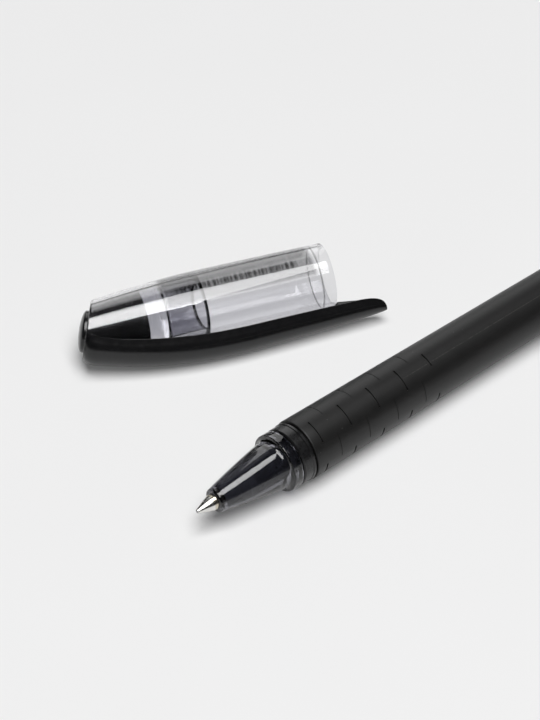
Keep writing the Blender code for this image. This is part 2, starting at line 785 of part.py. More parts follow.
def clip_base(home, cutters, cap, material):
    """The fixed root of the clip: a saddle on the cap that ends flush with the leaning end face."""
    start = clip_hinge().z + SEAT_GAP / 2
    end = CAP_LENGTH + CLIP_END_LENGTH
    rings = [clip_outline(height) for height in spaced(start, end - CLIP_END_ROUND, 4)]
    for angle in spaced(0.0, math.pi / 2, 5)[1:]:
        height = end - CLIP_END_ROUND * (1 - math.sin(angle))
        rings.append(clip_outline(height, CLIP_END_ROUND * (1 - math.cos(angle))))
    saddle = add_object("clip_base", to_mesh(loft(rings), "clip_base"), home, cap, material)
    cut(saddle, cap_envelope("clip_base_clearance", cutters, cap, PRESS_GAP))
    cut(saddle, end_cutter("clip_base_end", cutters, cap))
    return saddle


def lay_down(root, home):
    """Moves the whole object so that its box stands on the origin, centred above it."""
    bpy.context.view_layer.update()
    graph = bpy.context.evaluated_depsgraph_get()
    corners = []
    for made in home.objects:
        if made.type == "MESH":
            shown = made.evaluated_get(graph)
            mesh = shown.to_mesh()
            corners += [shown.matrix_world @ vertex.co for vertex in mesh.vertices]
            shown.to_mesh_clear()
    low = [min(point[axis] for point in corners) for axis in range(3)]
    high = [max(point[axis] for point in corners) for axis in range(3)]
    root.location = (-(low[0] + high[0]) / 2, -(low[1] + high[1]) / 2, -low[2])
    bpy.context.view_layer.update()


def main():
    for old in list(bpy.data.objects):
        bpy.data.objects.remove(old, do_unlink=True)
    home = collection("ballpoint_pen")
    cutters = collection("cutters")

    soft_black = finish("soft_black", (0.012, 0.012, 0.012), 0.62)
    hard_black = finish("hard_black", (0.008, 0.008, 0.008), 0.3)
    gloss_black = finish("gloss_black", (0.006, 0.006, 0.007), 0.15)
    smoke_clear = finish("smoke_clear", (0.12, 0.12, 0.14), 0.06, transmission=0.9, alpha=0.75)
    tinted_clear = finish("tinted_clear", (0.55, 0.55, 0.62), 0.1, transmission=0.9, alpha=0.5)
    clear = finish("clear", (0.95, 0.95, 0.96), 0.04, transmission=1.0, alpha=0.35)
    frosted = finish("frosted", (0.75, 0.77, 0.78), 0.35, transmission=0.5, alpha=0.7)
    nickel = finish("nickel", (0.72, 0.69, 0.62), 0.22, metallic=1.0)
    carbide = finish("carbide", (0.35, 0.35, 0.36), 0.12, metallic=1.0)
    ink_black = finish("ink_black", (0.004, 0.004, 0.006), 0.2)
    grease = finish("grease", (0.85, 0.8, 0.6), 0.25, transmission=0.6, alpha=0.8)

    root = empty("pen_and_cap", home)
    along_x = Matrix.Rotation(math.pi / 2, 4, "Y")
    pen = empty("pen_axis", home, root, Matrix.Translation((0.0, 0.0, SLEEVE_RADIUS)) @ along_x)
    mouth = Matrix.Translation((CAP_MOUTH_ALONG, CAP_MOUTH_ASIDE, CAP_WIDEST_RADIUS))
    turn = Matrix.Rotation(CAP_HEADING, 4, "Z")
    roll = Matrix.Rotation(CLIP_ROLL, 4, "Z")
    cap = empty("cap_axis", home, root, mouth @ turn @ along_x @ roll)

    barrel_tube(home, pen, hard_black)
    grip_sleeve(home, cutters, pen, soft_black)
    tail_plug(home, pen, gloss_black)
    nose_cone(home, pen, smoke_clear)
    tip_socket(home, pen, nickel)
    tip_holder(home, pen, frosted)
    refill_tube(home, pen, frosted)
    ball("writing_ball", home, pen, carbide, BALL_RADIUS, BALL_RADIUS)
    ball("valve_ball", home, pen, carbide, VALVE_BALL_RADIUS, valve_height())
    ink(home, pen, ink_black, grease)

    cap_shell(home, cutters, cap, clear)
    inner_cap(home, cap, tinted_clear)
    cap_crown(home, cutters, cap, gloss_black)
    clip_arm(home, cutters, cap, gloss_black)
    clip_base(home, cutters, cap, gloss_black)
    crease(home)
    lay_down(root, home)


if __name__ == "__main__":
    main()
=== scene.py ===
"""Looks of a capped ballpoint pen that lies on a table beside its cap.

The pen is turned about its own Z, with heights counted from the writing ball towards the tail.
The cap is turned about its own Z too, with heights counted from its mouth towards its closed end.
Lengths are in metres, and every piece stands where its CAD solid does.
"""

import json
import math

import bmesh
import bpy
from bpy.props import FloatProperty, FloatVectorProperty, IntProperty, PointerProperty
from bpy.types import Operator, Panel, PropertyGroup
from mathutils import Matrix, Vector


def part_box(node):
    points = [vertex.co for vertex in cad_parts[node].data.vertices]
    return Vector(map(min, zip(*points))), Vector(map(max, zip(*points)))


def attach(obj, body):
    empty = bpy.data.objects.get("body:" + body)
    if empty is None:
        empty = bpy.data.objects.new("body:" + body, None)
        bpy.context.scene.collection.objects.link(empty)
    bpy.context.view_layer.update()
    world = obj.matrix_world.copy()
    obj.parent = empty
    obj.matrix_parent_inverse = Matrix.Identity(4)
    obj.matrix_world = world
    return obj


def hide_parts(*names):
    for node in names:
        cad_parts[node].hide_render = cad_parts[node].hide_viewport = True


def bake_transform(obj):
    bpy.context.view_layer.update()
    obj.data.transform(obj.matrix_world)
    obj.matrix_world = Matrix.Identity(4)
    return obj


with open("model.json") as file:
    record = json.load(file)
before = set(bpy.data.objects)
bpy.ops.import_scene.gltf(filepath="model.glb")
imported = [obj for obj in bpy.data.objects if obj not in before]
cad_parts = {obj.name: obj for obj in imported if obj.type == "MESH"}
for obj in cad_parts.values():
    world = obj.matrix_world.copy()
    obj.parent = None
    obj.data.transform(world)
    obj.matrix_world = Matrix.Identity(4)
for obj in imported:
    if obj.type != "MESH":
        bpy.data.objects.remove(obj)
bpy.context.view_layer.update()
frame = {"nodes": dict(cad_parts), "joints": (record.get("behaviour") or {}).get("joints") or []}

bl_info = {
    "name": "Capped Ballpoint Pen",
    "version": (1, 0, 0),
    "blender": (4, 5, 0),
    "location": "3D View > Sidebar > Pen",
    "description": "Builds the visible pieces of a ballpoint pen and its cap round their CAD solids",
    "category": "Object",
}

MM = 0.001
RECORD_JOINTS = {joint["name"]: joint for joint in frame["joints"]}

# Fits
PRESS_GAP = 0.03 * MM
RUNNING_GAP = 0.06 * MM
SEAT_GAP = 0.3 * MM

# Facets round the turned pieces
WIDE_STEPS = 160
SMALL_STEPS = 96
CREASE_ANGLE = math.radians(32)
LEAST_FACES = 8
QUARTER = math.pi / 2

# Barrel with its collar, and the soft skin over it
COLLAR_START = 19.6 * MM
COLLAR_RING_LENGTH = 0.5 * MM
COLLAR_LENGTH = 2.35 * MM
COLLAR_CHAMFER = 0.2 * MM
BARREL_END = 122.0 * MM
BARREL_BORE = 3.4 * MM
SKIN_START = 22.36 * MM
SKIN_WALL = 0.6 * MM
SKIN_EDGE_ROUND = 0.22 * MM

# Slits of the grip
SLIT_FIRST = 2.06 * MM
SLIT_PITCH = 3.27 * MM
SLITS_ROUND = 4
SLIT_STEPS = 24
SLIT_MIDDLE = math.radians(207)
SLIT_ARC = math.radians(46)
SLIT_LAST_ARC = math.radians(30)

# Parting line along the skin, in the middle of the slits, and dust
SEAM_HALF_WIDTH = 0.06 * MM
SEAM_START = 44.5 * MM
SEAM_DOTS = 0.25 * MM
SEAM_TONE = (0.03, 0.029, 0.027)
SKIN_DUST = (0.16, 0.16, 0.16)
SKIN_GLOSS_SPREAD = 0.07
GLOSS_DUST = (0.12, 0.12, 0.12)

# Plug in the tail
PLUG_HEAD_LENGTH = 3.5 * MM
PLUG_EDGE_ROUND = 0.8 * MM
PLUG_SPIGOT_LENGTH = 10.0 * MM
PLUG_WALL = 0.9 * MM
VENT_RADIUS = 0.75 * MM

# Nose cone
CONE_FRONT = 3.73 * MM
CONE_FRONT_ROUND = 0.5 * MM
CONE_BASE = 16.3 * MM
CONE_BULGE = 0.11 * MM
FLANGE_LENGTH = 1.9 * MM
FLANGE_EDGE_ROUND = 0.15 * MM
FLANGE_SEAM = 0.3 * MM
SPIGOT_RADIUS = 4.2 * MM
SPIGOT_LENGTH = 9.2 * MM
SPIGOT_BORE = 3.2 * MM
CONE_WALL = 0.45 * MM
CONE_LIP_LENGTH = 1.2 * MM
CONE_BACK = COLLAR_START - FLANGE_SEAM
SMOKE_IOR = 1.58
SMOKE_ROUGHNESS = 0.02
SMOKE_RIPPLE = 0.0012 * MM

# Refill
BALL_RADIUS = 0.35 * MM
SOCKET_GAP = 0.035 * MM
SOCKET_LIP_ANGLE = math.radians(54)
SOCKET_LIP_WALL = 0.05 * MM
TIP_CONE_LENGTH = 3.0 * MM
TIP_LENGTH = 9.7 * MM
TIP_TONE_FADE = 0.01
TURNING_MARKS = 1.2 * MM
TURNING_WAVER = 1.5
INK_CHANNEL_RADIUS = 0.2 * MM
TIP_BORE_RADIUS = 0.6 * MM
HOLDER_NECK_RADIUS = 1.85 * MM
HOLDER_NECK_LENGTH = 3.2 * MM
HOLDER_SHOULDER_LENGTH = 1.3 * MM
HOLDER_RIM_LENGTH = 1.5 * MM
HOLDER_SPIGOT_LENGTH = 5.8 * MM
HOLDER_BORE = 0.4 * MM
HOLDER_CHAMFER = 0.12 * MM
VALVE_BALL_RADIUS = 0.55 * MM
VALVE_PLAY = 0.15 * MM
VALVE_LIFT = 0.4 * MM
REFILL_WALL = 0.55 * MM
REFILL_END_GAP = 6.0 * MM
HOLDER_FRONT = CONE_FRONT + CONE_LIP_LENGTH + SEAT_GAP
HOLDER_RIM = HOLDER_FRONT + HOLDER_NECK_LENGTH + HOLDER_SHOULDER_LENGTH
HOLDER_BACK = HOLDER_RIM + HOLDER_RIM_LENGTH
CARBIDE = (0.35, 0.35, 0.36)
INK = (0.004, 0.004, 0.006)
GREASE = (0.85, 0.8, 0.6)

# Cap
CAP_WIDEST_AT = 24.7 * MM
CAP_NOSE_POWER = 1.6
CAP_LEAD_IN = 1.0 * MM
CAP_LEAD_IN_FLARE = 0.26 * MM
CAP_RIM_ROUND = 0.07 * MM
CAP_END_LEAN = math.radians(24.2)
CAP_END_ROUND = 0.45 * MM
END_SEARCH_ROUNDS = 6
CROWN_LENGTH = 10.2 * MM
INNER_CAP_LENGTH = 10.8 * MM
INNER_CAP_BORE = 4.2 * MM
INNER_CAP_DEPTH = 7.2 * MM
INNER_CAP_BEVEL = 0.8 * MM
CROWN_RING_WIDTH = 0.35 * MM
CROWN_RING_DEPTH = 0.25 * MM
CROWN_RINGS = (2.3 * MM, 5.0 * MM)
BUTTON_HEIGHT = 1.3 * MM
BUTTON_DOME = 0.9 * MM
BUTTON_SINK = 1.0 * MM

# Clear plastics of the cap
CAP_IOR = 1.49
SHELL_ROUGHNESS = 0.01
SHELL_RIPPLE = 0.002 * MM
SLEEVE_ROUGHNESS = 0.03
SLEEVE_RIPPLE = 0.004 * MM
SLEEVE_LIP = 0.35 * MM
SLEEVE_LIP_SHARE = 0.03

# Painted shade on the shell: a darker upper side, counted round its axis from the clip, the same darker
# tone on its stop ring, and a narrow strip of painted dark streaks
PAINTED_SHADE_ANGLE = math.radians(130)
PAINTED_SHADE_RADIUS = 5.7 * MM
PAINTED_SHADE_SPREAD = (math.radians(64), math.radians(56))
PAINTED_SHADE_ENDS = (3.0 * MM, 30.5 * MM)
PAINTED_SHADE_FADE = 0.7 * MM
STOP_RING_AT = 2.3 * MM
STOP_RING_HALF_WIDTH = 0.12 * MM
SHADE_STREAK_ANGLE = math.radians(96.7)
SHADE_STREAK_HALF_WIDTH = 0.7 * MM
SHADE_STREAK_ENDS = (6.0 * MM, 28.5 * MM)
SHADE_STREAK_PITCH = 0.5 * MM
SHADE_STREAK_STRENGTHS = ((0.4, 0.35), (0.6, 1.0))

# Clip
CLIP_TIP_LENGTH = 6.5 * MM
CLIP_HINGE_FROM_END = 3.3 * MM
CLIP_SIDE_BULGE = 0.4 * MM
CLIP_ROOT_FLARE = 0.3 * MM
CLIP_FLARE_LENGTH = 5.8 * MM
CLIP_SIDE_LENGTH = 1.0 * MM
CLIP_SIDE_DRAFT = math.radians(27.5)
CLIP_RISE_START = 17.0 * MM
CLIP_RISE = 4.5 * MM
CLIP_RISE_POWER = 2.27
CLIP_SWEEP_RATIO = 0.0225
CLIP_TIP_LIFT = 0.9 * MM
CLIP_TIP_POWER = 3.0
CLIP_LEAST_RADIUS = 0.02 * MM
CLIP_TIP_WALL = 1.6 * MM
CLIP_ROOT_WALL = 1.4 * MM
CLIP_END_ASIDE = 4.5 * MM
CLIP_END_ROUND = 1.2 * MM
CLIP_RIM_ROUND = 0.25 * MM
CLIP_LIP = 0.05 * MM
CLIP_ARC_STEPS = 40
NUB_START = 1.3 * MM
NUB_LENGTH = 5.9 * MM
NUB_RISE = 0.75 * MM
NUB_LEAST_RISE = 0.01 * MM
NUB_CREST_SHARE = 0.15
NUB_INSET = 0.3 * MM

# Camera, set out from the pen's tip on the table, and the table
CAMERA_OFFSET = Vector((-0.284189, -0.341121, 0.4450))
TARGET_OFFSET = Vector((0.037951, 0.024618, 0.0))
UP = Vector((0.0, 0.0, 1.0))
FLOOR_SPAN = 4.0
FLOOR_CUTS = 8

# Softbox: the way to its right, and its edges across and in depth in shares of its height
SOFTBOX_RIGHT = (0.8984, -0.4391)
SOFTBOX_ACROSS = (-0.3, 0.33)
SOFTBOX_DEEP = (-0.8, 0.1)

# Screen on the far side from the camera: its distance and its edges in metres
SCREEN_DISTANCE = 1.2
SCREEN_HEIGHTS = (0.25, 1.9)
SCREEN_ACROSS = (-0.2, 0.5)


def measure(name, description, millimetres):
    """A size that a user would change, given in millimetres."""
    return FloatProperty(
        name=name, description=description, default=millimetres * MM, min=0.0, precision=5, unit="LENGTH"
    )


def colour(name, description, value):
    return FloatVectorProperty(
        name=name, description=description, default=value, size=3, min=0.0, max=1.0, subtype="COLOR"
    )


def share(name, description, value):
    return FloatProperty(
        name=name, description=description, default=value, min=0.0, max=1.0, subtype="FACTOR"
    )


def radiance(name, description, value):
    return FloatProperty(name=name, description=description, default=value, min=0.0)


class PenSizes(PropertyGroup):
    """Sizes of the pen."""

    grip_radius: measure("Grip radius", "Outside of the soft skin at its front edge", 5.56)
    tail_radius: measure("Tail radius", "Outside of the soft skin at the tail", 4.5)
    collar_radius: measure("Collar radius", "Outside of the hard collar", 5.3)
    collar_ring_radius: measure("Collar ring radius", "Outside of the click ring behind the collar", 5.42)
    flange_radius: measure("Flange radius", "Outside of the nose cone's flange", 5.3)
    cone_front_radius: measure("Cone front radius", "Outside of the nose cone at its front", 2.12)
    cone_base_radius: measure("Cone base radius", "Outside of the nose cone where its flange begins", 4.4)
    shank_radius: measure("Shank radius", "Outside of the metal point's shank", 1.4)
    refill_radius: measure("Refill radius", "Outside of the ink tube", 2.75)
    slit_width: measure("Slit width", "Width of a slit in the grip", 0.3)
    slit_depth: measure("Slit depth", "Depth of a slit in the grip", 0.28)
    score_width: measure("Score width", "Width of the faint scores between the slits", 0.12)
    score_depth: measure("Score depth", "Depth of the faint scores between the slits", 0.08)
    slit_rows: IntProperty(name="Slit rows", description="Rows of slits along the grip", default=9, min=1)


class CapSizes(PropertyGroup):
    """Sizes of the cap and its clip."""

    length: measure("Length", "From the mouth to the leaning end face, on the axis", 44.5)
    mouth_radius: measure("Mouth radius", "Outside of the shell at its mouth", 5.98)
    widest_radius: measure("Widest radius", "Outside of the shell where it is widest", 6.2)
    end_radius: measure("End radius", "Outside of the shell at its closed end", 4.98)
    wall: measure("Wall", "Thickness of the clear shell", 0.78)
    button_radius: measure("Button radius", "Radius of the button on the end face", 3.7)
    clip_reach: measure("Clip reach", "How far the clip runs past the mouth", 8.5)
    clip_root_half_width: measure("Clip root half width", "Half the clip's width at its root", 3.9)
    clip_tip_half_width: measure("Clip tip half width", "Half the clip's width at its tip", 2.7)
    clip_standoff: measure("Clip stand-off", "From the cap's axis to the clip's open edge", 7.95)
    clip_wall: measure("Clip wall", "Wall of the clip's trough", 0.95)


class PenFinishes(PropertyGroup):
    """Colours and glosses."""

    skin: colour("Soft skin", "Colour of the soft-touch skin", (0.004, 0.0039, 0.0038))
    hard_black: colour("Hard black", "Colour of the barrel", (0.007, 0.007, 0.0075))
    gloss_black: colour("Gloss black", "Colour of clip, crown and tail plug", (0.006, 0.006, 0.0065))
    smoke: colour("Smoke", "Tint of the see-through nose", (0.18, 0.18, 0.2))
    sleeve_tint: colour("Inner sleeve", "Tint of the sleeve inside the cap", (0.76, 0.76, 0.79))
    clear: colour("Clear", "Tint of the cap's shell", (0.92, 0.92, 0.93))
    # Painted shade: shares of the light that the shell lets through where its colour is darkened, on its
    # upper side and on its strip of dark streaks
    painted_shade: share("Painted shade", "Share of the light that the smoky side of the shell lets through", 0.46)
    shade_streaks: share("Shade streaks", "Share of the light that the scuffed strip of the shell lets through", 0.07)
    nickel: colour("Nickel silver", "Colour of the metal point's taper", (0.76, 0.75, 0.72))
    shank: colour("Shank", "Colour of the metal point's shank", (0.6, 0.56, 0.46))
    frosted: colour("Frosted", "Colour of the refill's moulded pieces", (0.62, 0.64, 0.68))
    skin_roughness: share("Skin roughness", "Roughness of the soft-touch skin", 0.45)
    clip_roughness: share("Clip roughness", "Roughness of the gloss black pieces", 0.22)


class StageLook(PropertyGroup):
    """Floor, light and camera."""

    floor: colour("Floor", "Colour of the table", (0.86, 0.86, 0.86))
    floor_glow: share("Floor glow", "How far the table's own paleness lifts the shadows on it", 0.14)
    surroundings: colour("Surroundings", "Colour of the dim room round the table", (0.02, 0.02, 0.021))
    softbox_height: FloatProperty(
        name="Softbox height", description="Height of the softbox over the pen", default=3.0, unit="LENGTH"
    )
    softbox_radiance: radiance("Softbox radiance", "Brightness of the softbox's face", 7.6)
    screen_radiance: radiance("Screen radiance", "Brightness of the pale screen behind the pen", 1.6)
    lens: FloatProperty(
        name="Lens", description="Focal length of the camera", default=187.69, subtype="DISTANCE_CAMERA"
    )


def pen_place():
    """The pen's own frame: its tip on the axis, local Z towards the tail."""
    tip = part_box("writing_ball")[0].x
    low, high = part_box("grip_sleeve")
    middle = (low + high) / 2
    return Matrix.Translation((tip, middle.y, middle.z)) @ Matrix.Rotation(QUARTER, 4, "Y")


def cap_place(sizes):
    """The cap's own frame, from its joints: local Z towards the closed end, local X towards the clip."""
    along = Vector(RECORD_JOINTS["cap_pull"]["axis"]).normalized()
    across = -Vector(RECORD_JOINTS["clip_flex"]["axis"]).normalized()
    outward = across.cross(along)
    turn = Matrix((outward, across, along)).transposed()
    mouth = Vector(RECORD_JOINTS["clip_flex"]["pos_m"]) - turn @ clip_hinge(sizes)
    return Matrix.Translation(mouth) @ turn.to_4x4()


def spaced(start, end, count):
    """count + 1 values from start to end, evenly spaced."""
    return [start + (end - start) * i / count for i in range(count + 1)]


def between(first, second, part):
    """The value that lies a part of the way from first to second."""
    return first + (second - first) * part


def bulge(part):
    """0 at both ends of a run and 1 in its middle."""
    return 4 * part * (1 - part)


def stepped(*steps):
    """Points (radius, height) along a stepped shaft or bore. Each step is (radius, start, end)."""
    return [(radius, height) for radius, *ends in steps for height in ends]


def arc(centre_radius, centre_height, radius, start, end, count):
    """Points (radius, height) on an arc, with angles counted from +radius towards +height."""
    points = []
    for angle in spaced(start, end, count):
        points.append((centre_radius + radius * math.cos(angle), centre_height + radius * math.sin(angle)))
    return points


def barrel_radius(sizes, height):
    """Outer radius of the soft skin, a slow taper from the grip's front edge to the tail."""
    part = (height - SKIN_START) / (BARREL_END - SKIN_START)
    return between(sizes.grip_radius, sizes.tail_radius, part)


def cone_radius(sizes, height):
    """Outer radius of the nose cone, a straight taper with a slight swell."""
    part = (height - CONE_FRONT) / (CONE_BASE - CONE_FRONT)
    taper = between(sizes.cone_front_radius, sizes.cone_base_radius, part)
    return taper + CONE_BULGE * bulge(part)


def cap_radius(sizes, height):
    """Outer radius of the cap: widening slowly from the mouth, then closing in towards the end."""
    if height <= CAP_WIDEST_AT:
        swell = math.sin(max(height, 0.0) / CAP_WIDEST_AT * QUARTER)
        return between(sizes.mouth_radius, sizes.widest_radius, swell)
    part = (height - CAP_WIDEST_AT) / (sizes.length - CAP_WIDEST_AT)
    return between(sizes.widest_radius, sizes.end_radius, part**CAP_NOSE_POWER)


def cap_wall(sizes, heights, inset=0.0):
    """Points (radius, height) on the cap's outside, or on a wall that lies inset from it."""
    return [(cap_radius(sizes, height) - inset, height) for height in heights]


def cap_bore():
    """Radius of the cap's straight bore, which slides over the flange of the nose cone."""
    return bpy.context.scene.pen_sizes.flange_radius + RUNNING_GAP


def inner_cap_end(sizes):
    return sizes.length - CROWN_LENGTH


def inner_cap_start(sizes):
    return inner_cap_end(sizes) - INNER_CAP_LENGTH


def end_height(sizes, aside):
    """Height of the leaning end face at a distance from the axis, counted towards the clip."""
    return sizes.length + aside * math.tan(CAP_END_LEAN)


def end_on_wall(sizes, angle, inset):
    """Height where the end face meets the cap's outside, or a wall that lies inset from it."""
    height = sizes.length
    for _ in range(END_SEARCH_ROUNDS):
        height = end_height(sizes, (cap_radius(sizes, height) - inset) * math.cos(angle))
    return height


def add_piece(name, shape, place, material):
    """A new object with the faces of shape, which is freed, turned outwards and smooth but for creases."""
    bmesh.ops.recalc_face_normals(shape, faces=shape.faces)
    mesh = bpy.data.meshes.new(name)
    shape.to_mesh(mesh)
    shape.free()
    mesh.shade_smooth()
    mesh.set_sharp_from_angle(angle=CREASE_ANGLE)
    if material is not None:
        mesh.materials.append(material)
    made = bpy.data.objects.new(name, mesh)
    bpy.context.scene.collection.objects.link(made)
    made.matrix_world = place
    return made


def spun(name, place, material, outline, closed, steps=WIDE_STEPS):
    """A solid swept round local Z. outline(angle) lists (radius, height), as many at every angle.

    A closed outline runs in a loop, and an open one starts and ends on the axis.
    """
    shape = bmesh.new()
    poles = {}
    for index, (radius, height) in enumerate(outline(0.0)):
        if radius <= 0.0:
            poles[index] = shape.verts.new((0.0, 0.0, height))
    columns = []
    for step in range(steps):
        angle = math.tau * step / steps
        column = []
        for index, (radius, height) in enumerate(outline(angle)):
            if index in poles:
                column.append(poles[index])
            else:
                column.append(shape.verts.new((radius * math.cos(angle), radius * math.sin(angle), height)))
        columns.append(column)
    for near, far in zip(columns, columns[1:] + columns[:1]):
        rows = list(zip(near, far))
        if closed:
            rows.append(rows[0])
        for low, high in zip(rows, rows[1:]):
            corners = list(dict.fromkeys((low[0], low[1], high[1], high[0])))
            if len(corners) > 2:
                shape.faces.new(corners)
    return add_piece(name, shape, place, material)


def turned(name, place, material, outside, inside=(), steps=WIDE_STEPS):
    """A solid of revolution about local Z.

    outside and inside list (radius, height) from the lowest point to the highest. With no inside the
    outline starts and ends on the axis.
    """
    loop = list(outside) + list(reversed(inside))
    return spun(name, place, material, lambda angle: loop, bool(inside), steps)


def rounded(before, corner, after, count):
    """Points on a rounded corner, from before to after."""
    points = []
    for part in spaced(0.0, 1.0, count):
        weights = ((1 - part) ** 2, 2 * part * (1 - part), part**2)
        radius = sum(weight * point[0] for weight, point in zip(weights, (before, corner, after)))
        height = sum(weight * point[1] for weight, point in zip(weights, (before, corner, after)))
        points.append((radius, height))
    return points


def loft_piece(name, place, material, *shells):
    """A piece of closed shells, each through its own equal rings of points, with flat ends."""
    shape = bmesh.new()
    for rings in shells:
        rows = [[shape.verts.new(point) for point in ring] for ring in rings]
        for low, high in zip(rows, rows[1:]):
            for i in range(len(low)):
                j = (i + 1) % len(low)
                shape.faces.new((low[i], low[j], high[j], high[i]))
        shape.faces.new(list(reversed(rows[0])))
        shape.faces.new(rows[-1])
    return add_piece(name, shape, place, material)


def combine(target, tools):
    """Joins or cuts a piece by helper pieces, which are then deleted. tools lists (operation, helper)."""
    for operation, helper in tools:
        step = target.modifiers.new(operation.lower(), "BOOLEAN")
        step.operation = operation
        step.solver = "EXACT"
        step.object = helper
    graph = bpy.context.evaluated_depsgraph_get()
    made = bpy.data.meshes.new_from_object(target.evaluated_get(graph))
    old = target.data
    target.modifiers.clear()
    target.data = made
    made.name = target.name
    bpy.data.meshes.remove(old)
    for _, helper in tools:
        bpy.data.meshes.remove(helper.data)
    if len(made.polygons) < LEAST_FACES:
        raise RuntimeError(f"{target.name} lost its faces while it was cut")
    made.shade_smooth()
    made.set_sharp_from_angle(angle=CREASE_ANGLE)


def settle(piece, body, slot, *nodes):
    """Makes a finished piece ride on its body in place of its CAD nodes."""
    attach(piece, body)
    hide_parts(*nodes)


def shade(tint, part=1.0):
    """A colour with its alpha, at a part of its brightness."""
    return (*(value * part for value in tint), 1.0)


class Finish:
    """A material that is built up from one Principled shader and procedural nodes."""

    def __init__(self, name, base, roughness, **values):
        self.material = bpy.data.materials.new(name)
        self.material.use_nodes = True
        self.tree = self.material.node_tree
        self.shader = self.tree.nodes["Principled BSDF"]
        self.output = self.tree.nodes["Material Output"]
        self.material.diffuse_color = shade(base)
        self.place = self.add("ShaderNodeTexCoord").outputs["Object"]
        values.update({"Base Color": shade(base), "Roughness": roughness})
        for socket, value in values.items():
            self.shader.inputs[socket].default_value = value

    def add(self, kind, **settings):
        node = self.tree.nodes.new(kind)
        for name, value in settings.items():
            setattr(node, name, value)
        return node

    def link(self, source, target):
        self.tree.links.new(source, target)

    def drive(self, socket, source):
        """Feeds a socket of the Principled shader."""
        self.link(source, self.shader.inputs[socket])

    def noise(self, size, detail):
        """Cloudy noise with features of about the given size."""
        node = self.add("ShaderNodeTexNoise")
        node.inputs["Scale"].default_value = 1 / size
        node.inputs["Detail"].default_value = detail
        self.link(self.place, node.inputs["Vector"])
        return node.outputs["Fac"]

    def ramp(self, source, stops):
        """Colours or greys by the value of source. stops lists (position, colour)."""
        node = self.add("ShaderNodeValToRGB")
        points = node.color_ramp.elements
        while len(points) < len(stops):
            points.new(1.0)
        for point, (position, value) in zip(points, stops):
            point.position = position
            point.color = value if isinstance(value, tuple) else (value, value, value, 1.0)
        self.link(source, node.inputs["Fac"])
        return node.outputs["Color"]

    def calculate(self, operation, first, second=None):
        node = self.add("ShaderNodeMath", operation=operation)
        for socket, value in zip(node.inputs, (first, second)):
            if isinstance(value, (int, float)):
                socket.default_value = value
            elif value is not None:
                self.link(value, socket)
        return node.outputs["Value"]

    def product(self, first, *others):
        for other in others:
            first = self.calculate("MULTIPLY", first, other)
        return first

    def mix(self, amount, first, second):
        """One colour over another by amount."""
        node = self.add("ShaderNodeMix", data_type="RGBA")
        self.link(amount, node.inputs["Factor"])
        under, over = (socket for socket in node.inputs if socket.type == "RGBA")
        for socket, value in ((under, first), (over, second)):
            if isinstance(value, tuple):
                socket.default_value = value
            else:
                self.link(value, socket)
        return next(socket for socket in node.outputs if socket.type == "RGBA")

    def coordinate(self, axis):
        node = self.add("ShaderNodeSeparateXYZ")
        self.link(self.place, node.inputs[0])
        return node.outputs[axis]

    def along(self, angle):
        """How far a point lies from the piece's own axis in the direction of an angle round it."""
        across = self.product(self.coordinate("X"), math.cos(angle))
        up = self.product(self.coordinate("Y"), math.sin(angle))
        return self.calculate("ADD", across, up)

    def span(self, source, ends, fade):
        """1 where source lies between the two ends and 0 outside them, with a soft edge."""
        middle = sum(ends) / 2
        aside = self.calculate("ABSOLUTE", self.calculate("SUBTRACT", source, middle))
        inside = self.calculate("SUBTRACT", (ends[1] - ends[0]) / 2 + fade / 2, aside)
        return self.ramp(self.calculate("DIVIDE", inside, fade), [(0.0, 0.0), (1.0, 1.0)])

    def strip(self, angle, half_width):
        """1 on a narrow strip along the piece, at an angle round its own axis, and 0 elsewhere."""
        aside = self.along(angle - QUARTER)
        narrow = self.span(aside, (-half_width, half_width), half_width)
        return self.product(narrow, self.calculate("GREATER_THAN", self.along(angle), 0.0))

    def dust(self, spacing, size, kept):
        """Small round specks, 1 on a speck and 0 between them. kept is the share of cells with a speck."""
        cells = self.add("ShaderNodeTexVoronoi")
        cells.inputs["Scale"].default_value = 1 / spacing
        self.link(self.place, cells.inputs["Vector"])
        near = self.calculate("LESS_THAN", cells.outputs["Distance"], size / spacing)
        pick = self.add("ShaderNodeSeparateColor")
        self.link(cells.outputs["Color"], pick.inputs["Color"])
        return self.product(near, self.calculate("LESS_THAN", pick.outputs["Red"], kept))

    def gloss(self, size, detail, low, high):
        """Roughness that varies in clouds. low and high pair a value of the noise with a roughness."""
        self.drive("Roughness", self.ramp(self.noise(size, detail), [low, high]))

    def bump(self, height, distance, strength):
        """Small relief on the surface."""
        node = self.add("ShaderNodeBump")
        node.inputs["Distance"].default_value = distance
        node.inputs["Strength"].default_value = strength
        self.link(height, node.inputs["Height"])
        self.drive("Normal", node.outputs["Normal"])

    def blend(self, amount, second):
        """Shows a second shader in place of the Principled one, by amount."""
        node = self.add("ShaderNodeMixShader")
        self.link(amount, node.inputs["Fac"])
        self.link(self.shader.outputs["BSDF"], node.inputs[1])
        self.link(second, node.inputs[2])
        self.link(node.outputs["Shader"], self.output.inputs["Surface"])

    def let_light_through(self, tint):
        """Lets lamps shine through clear plastic onto what lies behind it."""
        path = self.add("ShaderNodeLightPath").outputs
        straight = self.add("ShaderNodeBsdfTransparent")
        straight.inputs["Color"].default_value = shade(tint)
        either = self.calculate("MAXIMUM", path["Is Shadow Ray"], path["Is Diffuse Ray"])
        self.blend(either, straight.outputs["BSDF"])


